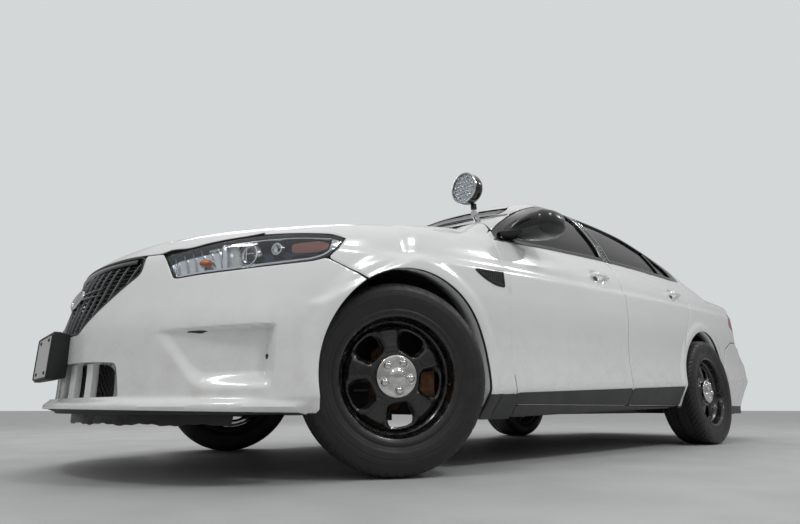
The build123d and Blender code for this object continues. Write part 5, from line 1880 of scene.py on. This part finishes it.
def build_stage(sizes):
    """A pale floor under a pale sky, soft lamps overhead and the camera near the floor."""
    scene = bpy.context.scene
    size = 60.0
    mesh = bpy.data.meshes.new("studio_floor")
    mesh.from_pydata([(-size, -size, 0), (size, -size, 0), (size, size, 0), (-size, size, 0)], [],
                     [(0, 1, 2, 3)])
    floor = bpy.data.objects.new("studio_floor", mesh)
    scene.collection.objects.link(floor)
    mesh.materials.append(finish("pale_concrete_floor", "#bfc0c0", 0.55,
                                 wear=(400, 6, 0.35, 0.65, 1.0, "#b4b5b5", 0.55)))
    world = bpy.data.worlds.new("studio_sky")
    world.use_nodes = True
    tree = world.node_tree
    tree.nodes.clear()
    rays = add(tree, "ShaderNodeLightPath")
    seen = add(tree, "ShaderNodeMath", {0: rays.outputs["Is Camera Ray"],
                                        1: rays.outputs["Is Transmission Ray"]},
               operation="MAXIMUM").outputs["Value"]
    place = add(tree, "ShaderNodeTexCoord")
    height = add(tree, "ShaderNodeSeparateXYZ", {"Vector": place.outputs["Generated"]})
    level = add(tree, "ShaderNodeMapRange", {"Value": height.outputs["Z"], "From Min": 0.0, "From Max": 0.9,
                                             "To Min": 0.22, "To Max": 0.75})
    lit = add(tree, "ShaderNodeBackground", {"Color": linear("#ffffff"), "Strength": level.outputs["Result"]})
    shown = add(tree, "ShaderNodeBackground", {"Color": linear("#d4d7d8"), "Strength": 1.0})
    sky = add(tree, "ShaderNodeMixShader", {0: seen, 1: lit.outputs["Background"],
                                            2: shown.outputs["Background"]})
    add(tree, "ShaderNodeOutputWorld", {"Surface": sky.outputs["Shader"]})
    scene.world = world
    for name, place, aim, width, power in (("ceiling_lamp_1", (1.5, -4.5, 4.6), (0.3, -1.5, 0.8), 1.0, 50),
                                           ("ceiling_lamp_2", (4.2, -0.5, 4.4), (0.6, 0.2, 0.8), 1.0, 60),
                                           ("ceiling_lamp_3", (4.0, 4.0, 4.6), (0.4, 1.2, 0.8), 1.2, 60),
                                           ("ceiling_lamp_4", (-4.0, 0.0, 4.6), (0, 0, 0.8), 3.0, 80)):
        lamp = bpy.data.lights.new(name, "AREA")
        lamp.shape = "RECTANGLE"
        lamp.size = width
        lamp.size_y = width * 0.6
        lamp.energy = 0.8 * power * sizes.lamp_power
        holder = bpy.data.objects.new(name, lamp)
        holder.location = place
        holder.rotation_euler = (Vector(aim) - Vector(place)).to_track_quat("-Z", "Y").to_euler()
        scene.collection.objects.link(holder)
    camera = bpy.data.cameras.new("camera")
    camera.lens = camera_lens
    camera.sensor_width = 36
    holder = bpy.data.objects.new("camera", camera)
    holder.location = camera_place
    holder.rotation_euler = Euler((math.radians(90 + camera_pitch), 0, math.radians(camera_yaw)))
    scene.collection.objects.link(holder)
    scene.camera = holder
    scene.view_settings.view_transform = "Standard"


# Properties, operators and panel

class SaloonSizes(bpy.types.PropertyGroup):
    """Sizes that a user would change."""
    tread_depth: bpy.props.FloatProperty(name="Tread depth", description="How deep the tyre grooves are",
                                         default=0.006, min=0.001, max=0.009, unit="LENGTH")
    tread_blocks: bpy.props.IntProperty(name="Tread blocks", description="Blocks round each shoulder",
                                        default=64)
    lamp_power: bpy.props.FloatProperty(name="Lamp power", description="Level of the ceiling lamps",
                                        default=1.0,
                                        subtype="FACTOR")


class SaloonColours(bpy.types.PropertyGroup):
    """Colours that a user would change."""
    paint: bpy.props.FloatVectorProperty(name="Paint", description="Body enamel", subtype="COLOR", size=4,
                                         default=linear("#eceded"))


class SALOON_OT_finishes(bpy.types.Operator):
    """Make every finish"""
    bl_idname = "saloon.finishes"
    bl_label = "Finishes"

    def execute(self, context):
        finishes.update(make_finishes())
        return {"FINISHED"}


class SALOON_OT_body(bpy.types.Operator):
    """Build the painted panels and what lies under them"""
    bl_idname = "saloon.body"
    bl_label = "Painted panels"

    def execute(self, context):
        build_lower_body()
        return {"FINISHED"}


class SALOON_OT_glass(bpy.types.Operator):
    """Build the screens and door panes"""
    bl_idname = "saloon.glass"
    bl_label = "Glass"

    def execute(self, context):
        build_glass()
        build_cowl()
        return {"FINISHED"}


class SALOON_OT_wheels(bpy.types.Operator):
    """Build the four wheels with their caps and tyres"""
    bl_idname = "saloon.wheels"
    bl_label = "Wheels and tyres"

    def execute(self, context):
        build_wheels(context.scene.saloon_sizes)
        return {"FINISHED"}


class SALOON_OT_stage(bpy.types.Operator):
    """Build the floor, sky, lamps and camera"""
    bl_idname = "saloon.stage"
    bl_label = "Stage"

    def execute(self, context):
        build_stage(context.scene.saloon_sizes)
        return {"FINISHED"}


class SALOON_OT_headlamps(bpy.types.Operator):
    """Build the headlamps"""
    bl_idname = "saloon.headlamps"
    bl_label = "Headlamps"

    def execute(self, context):
        build_headlamps()
        return {"FINISHED"}


class SALOON_OT_grilles(bpy.types.Operator):
    """Build both grilles, the plate and the air dam"""
    bl_idname = "saloon.grilles"
    bl_label = "Grilles, plate and air dam"

    def execute(self, context):
        build_upper_grille()
        build_lower_intake()
        build_plate()
        build_air_dam()
        return {"FINISHED"}


class SALOON_OT_side_trim(bpy.types.Operator):
    """Build the sill covers, vents, window trim and door handles"""
    bl_idname = "saloon.side_trim"
    bl_label = "Side trim and handles"

    def execute(self, context):
        build_side_trim()
        build_window_trim()
        build_handles()
        return {"FINISHED"}


class SALOON_OT_mirrors(bpy.types.Operator):
    """Build the door mirrors"""
    bl_idname = "saloon.mirrors"
    bl_label = "Mirrors"

    def execute(self, context):
        build_mirrors()
        return {"FINISHED"}


class SALOON_OT_spotlight(bpy.types.Operator):
    """Build the pillar spotlight"""
    bl_idname = "saloon.spotlight"
    bl_label = "Spotlight"

    def execute(self, context):
        build_spotlight()
        return {"FINISHED"}


class SALOON_OT_tail(bpy.types.Operator):
    """Build the tail lamps and rear trim"""
    bl_idname = "saloon.tail"
    bl_label = "Tail"

    def execute(self, context):
        build_tail()
        return {"FINISHED"}


class SALOON_OT_nodes(bpy.types.Operator):
    """Give the frame's own pieces their finishes"""
    bl_idname = "saloon.nodes"
    bl_label = "Frame finishes"

    def execute(self, context):
        finish_nodes()
        return {"FINISHED"}


operators = [SALOON_OT_finishes, SALOON_OT_stage, SALOON_OT_body, SALOON_OT_glass, SALOON_OT_wheels,
             SALOON_OT_headlamps, SALOON_OT_grilles, SALOON_OT_side_trim, SALOON_OT_mirrors,
             SALOON_OT_spotlight, SALOON_OT_tail, SALOON_OT_nodes]


class SALOON_PT_panel(bpy.types.Panel):
    """Lists the steps that build the saloon."""
    bl_idname = "SALOON_PT_panel"
    bl_label = "Patrol saloon"
    bl_space_type = "VIEW_3D"
    bl_region_type = "UI"
    bl_category = "Patrol"

    def draw(self, context):
        for group in (context.scene.saloon_sizes, context.scene.saloon_colours):
            for name in group.__annotations__:
                self.layout.prop(group, name)
        for operator in operators:
            self.layout.operator(operator.bl_idname)


classes = [SaloonSizes, SaloonColours, *operators, SALOON_PT_panel]


def register():
    for item in classes:
        bpy.utils.register_class(item)
    bpy.types.Scene.saloon_sizes = bpy.props.PointerProperty(type=SaloonSizes)
    bpy.types.Scene.saloon_colours = bpy.props.PointerProperty(type=SaloonColours)


def unregister():
    del bpy.types.Scene.saloon_colours
    del bpy.types.Scene.saloon_sizes
    for item in reversed(classes):
        bpy.utils.unregister_class(item)


def main():
    register()
    for operator in operators:
        group, name = operator.bl_idname.split(".")
        getattr(getattr(bpy.ops, group), name)()


if __name__ == "__main__":
    main()
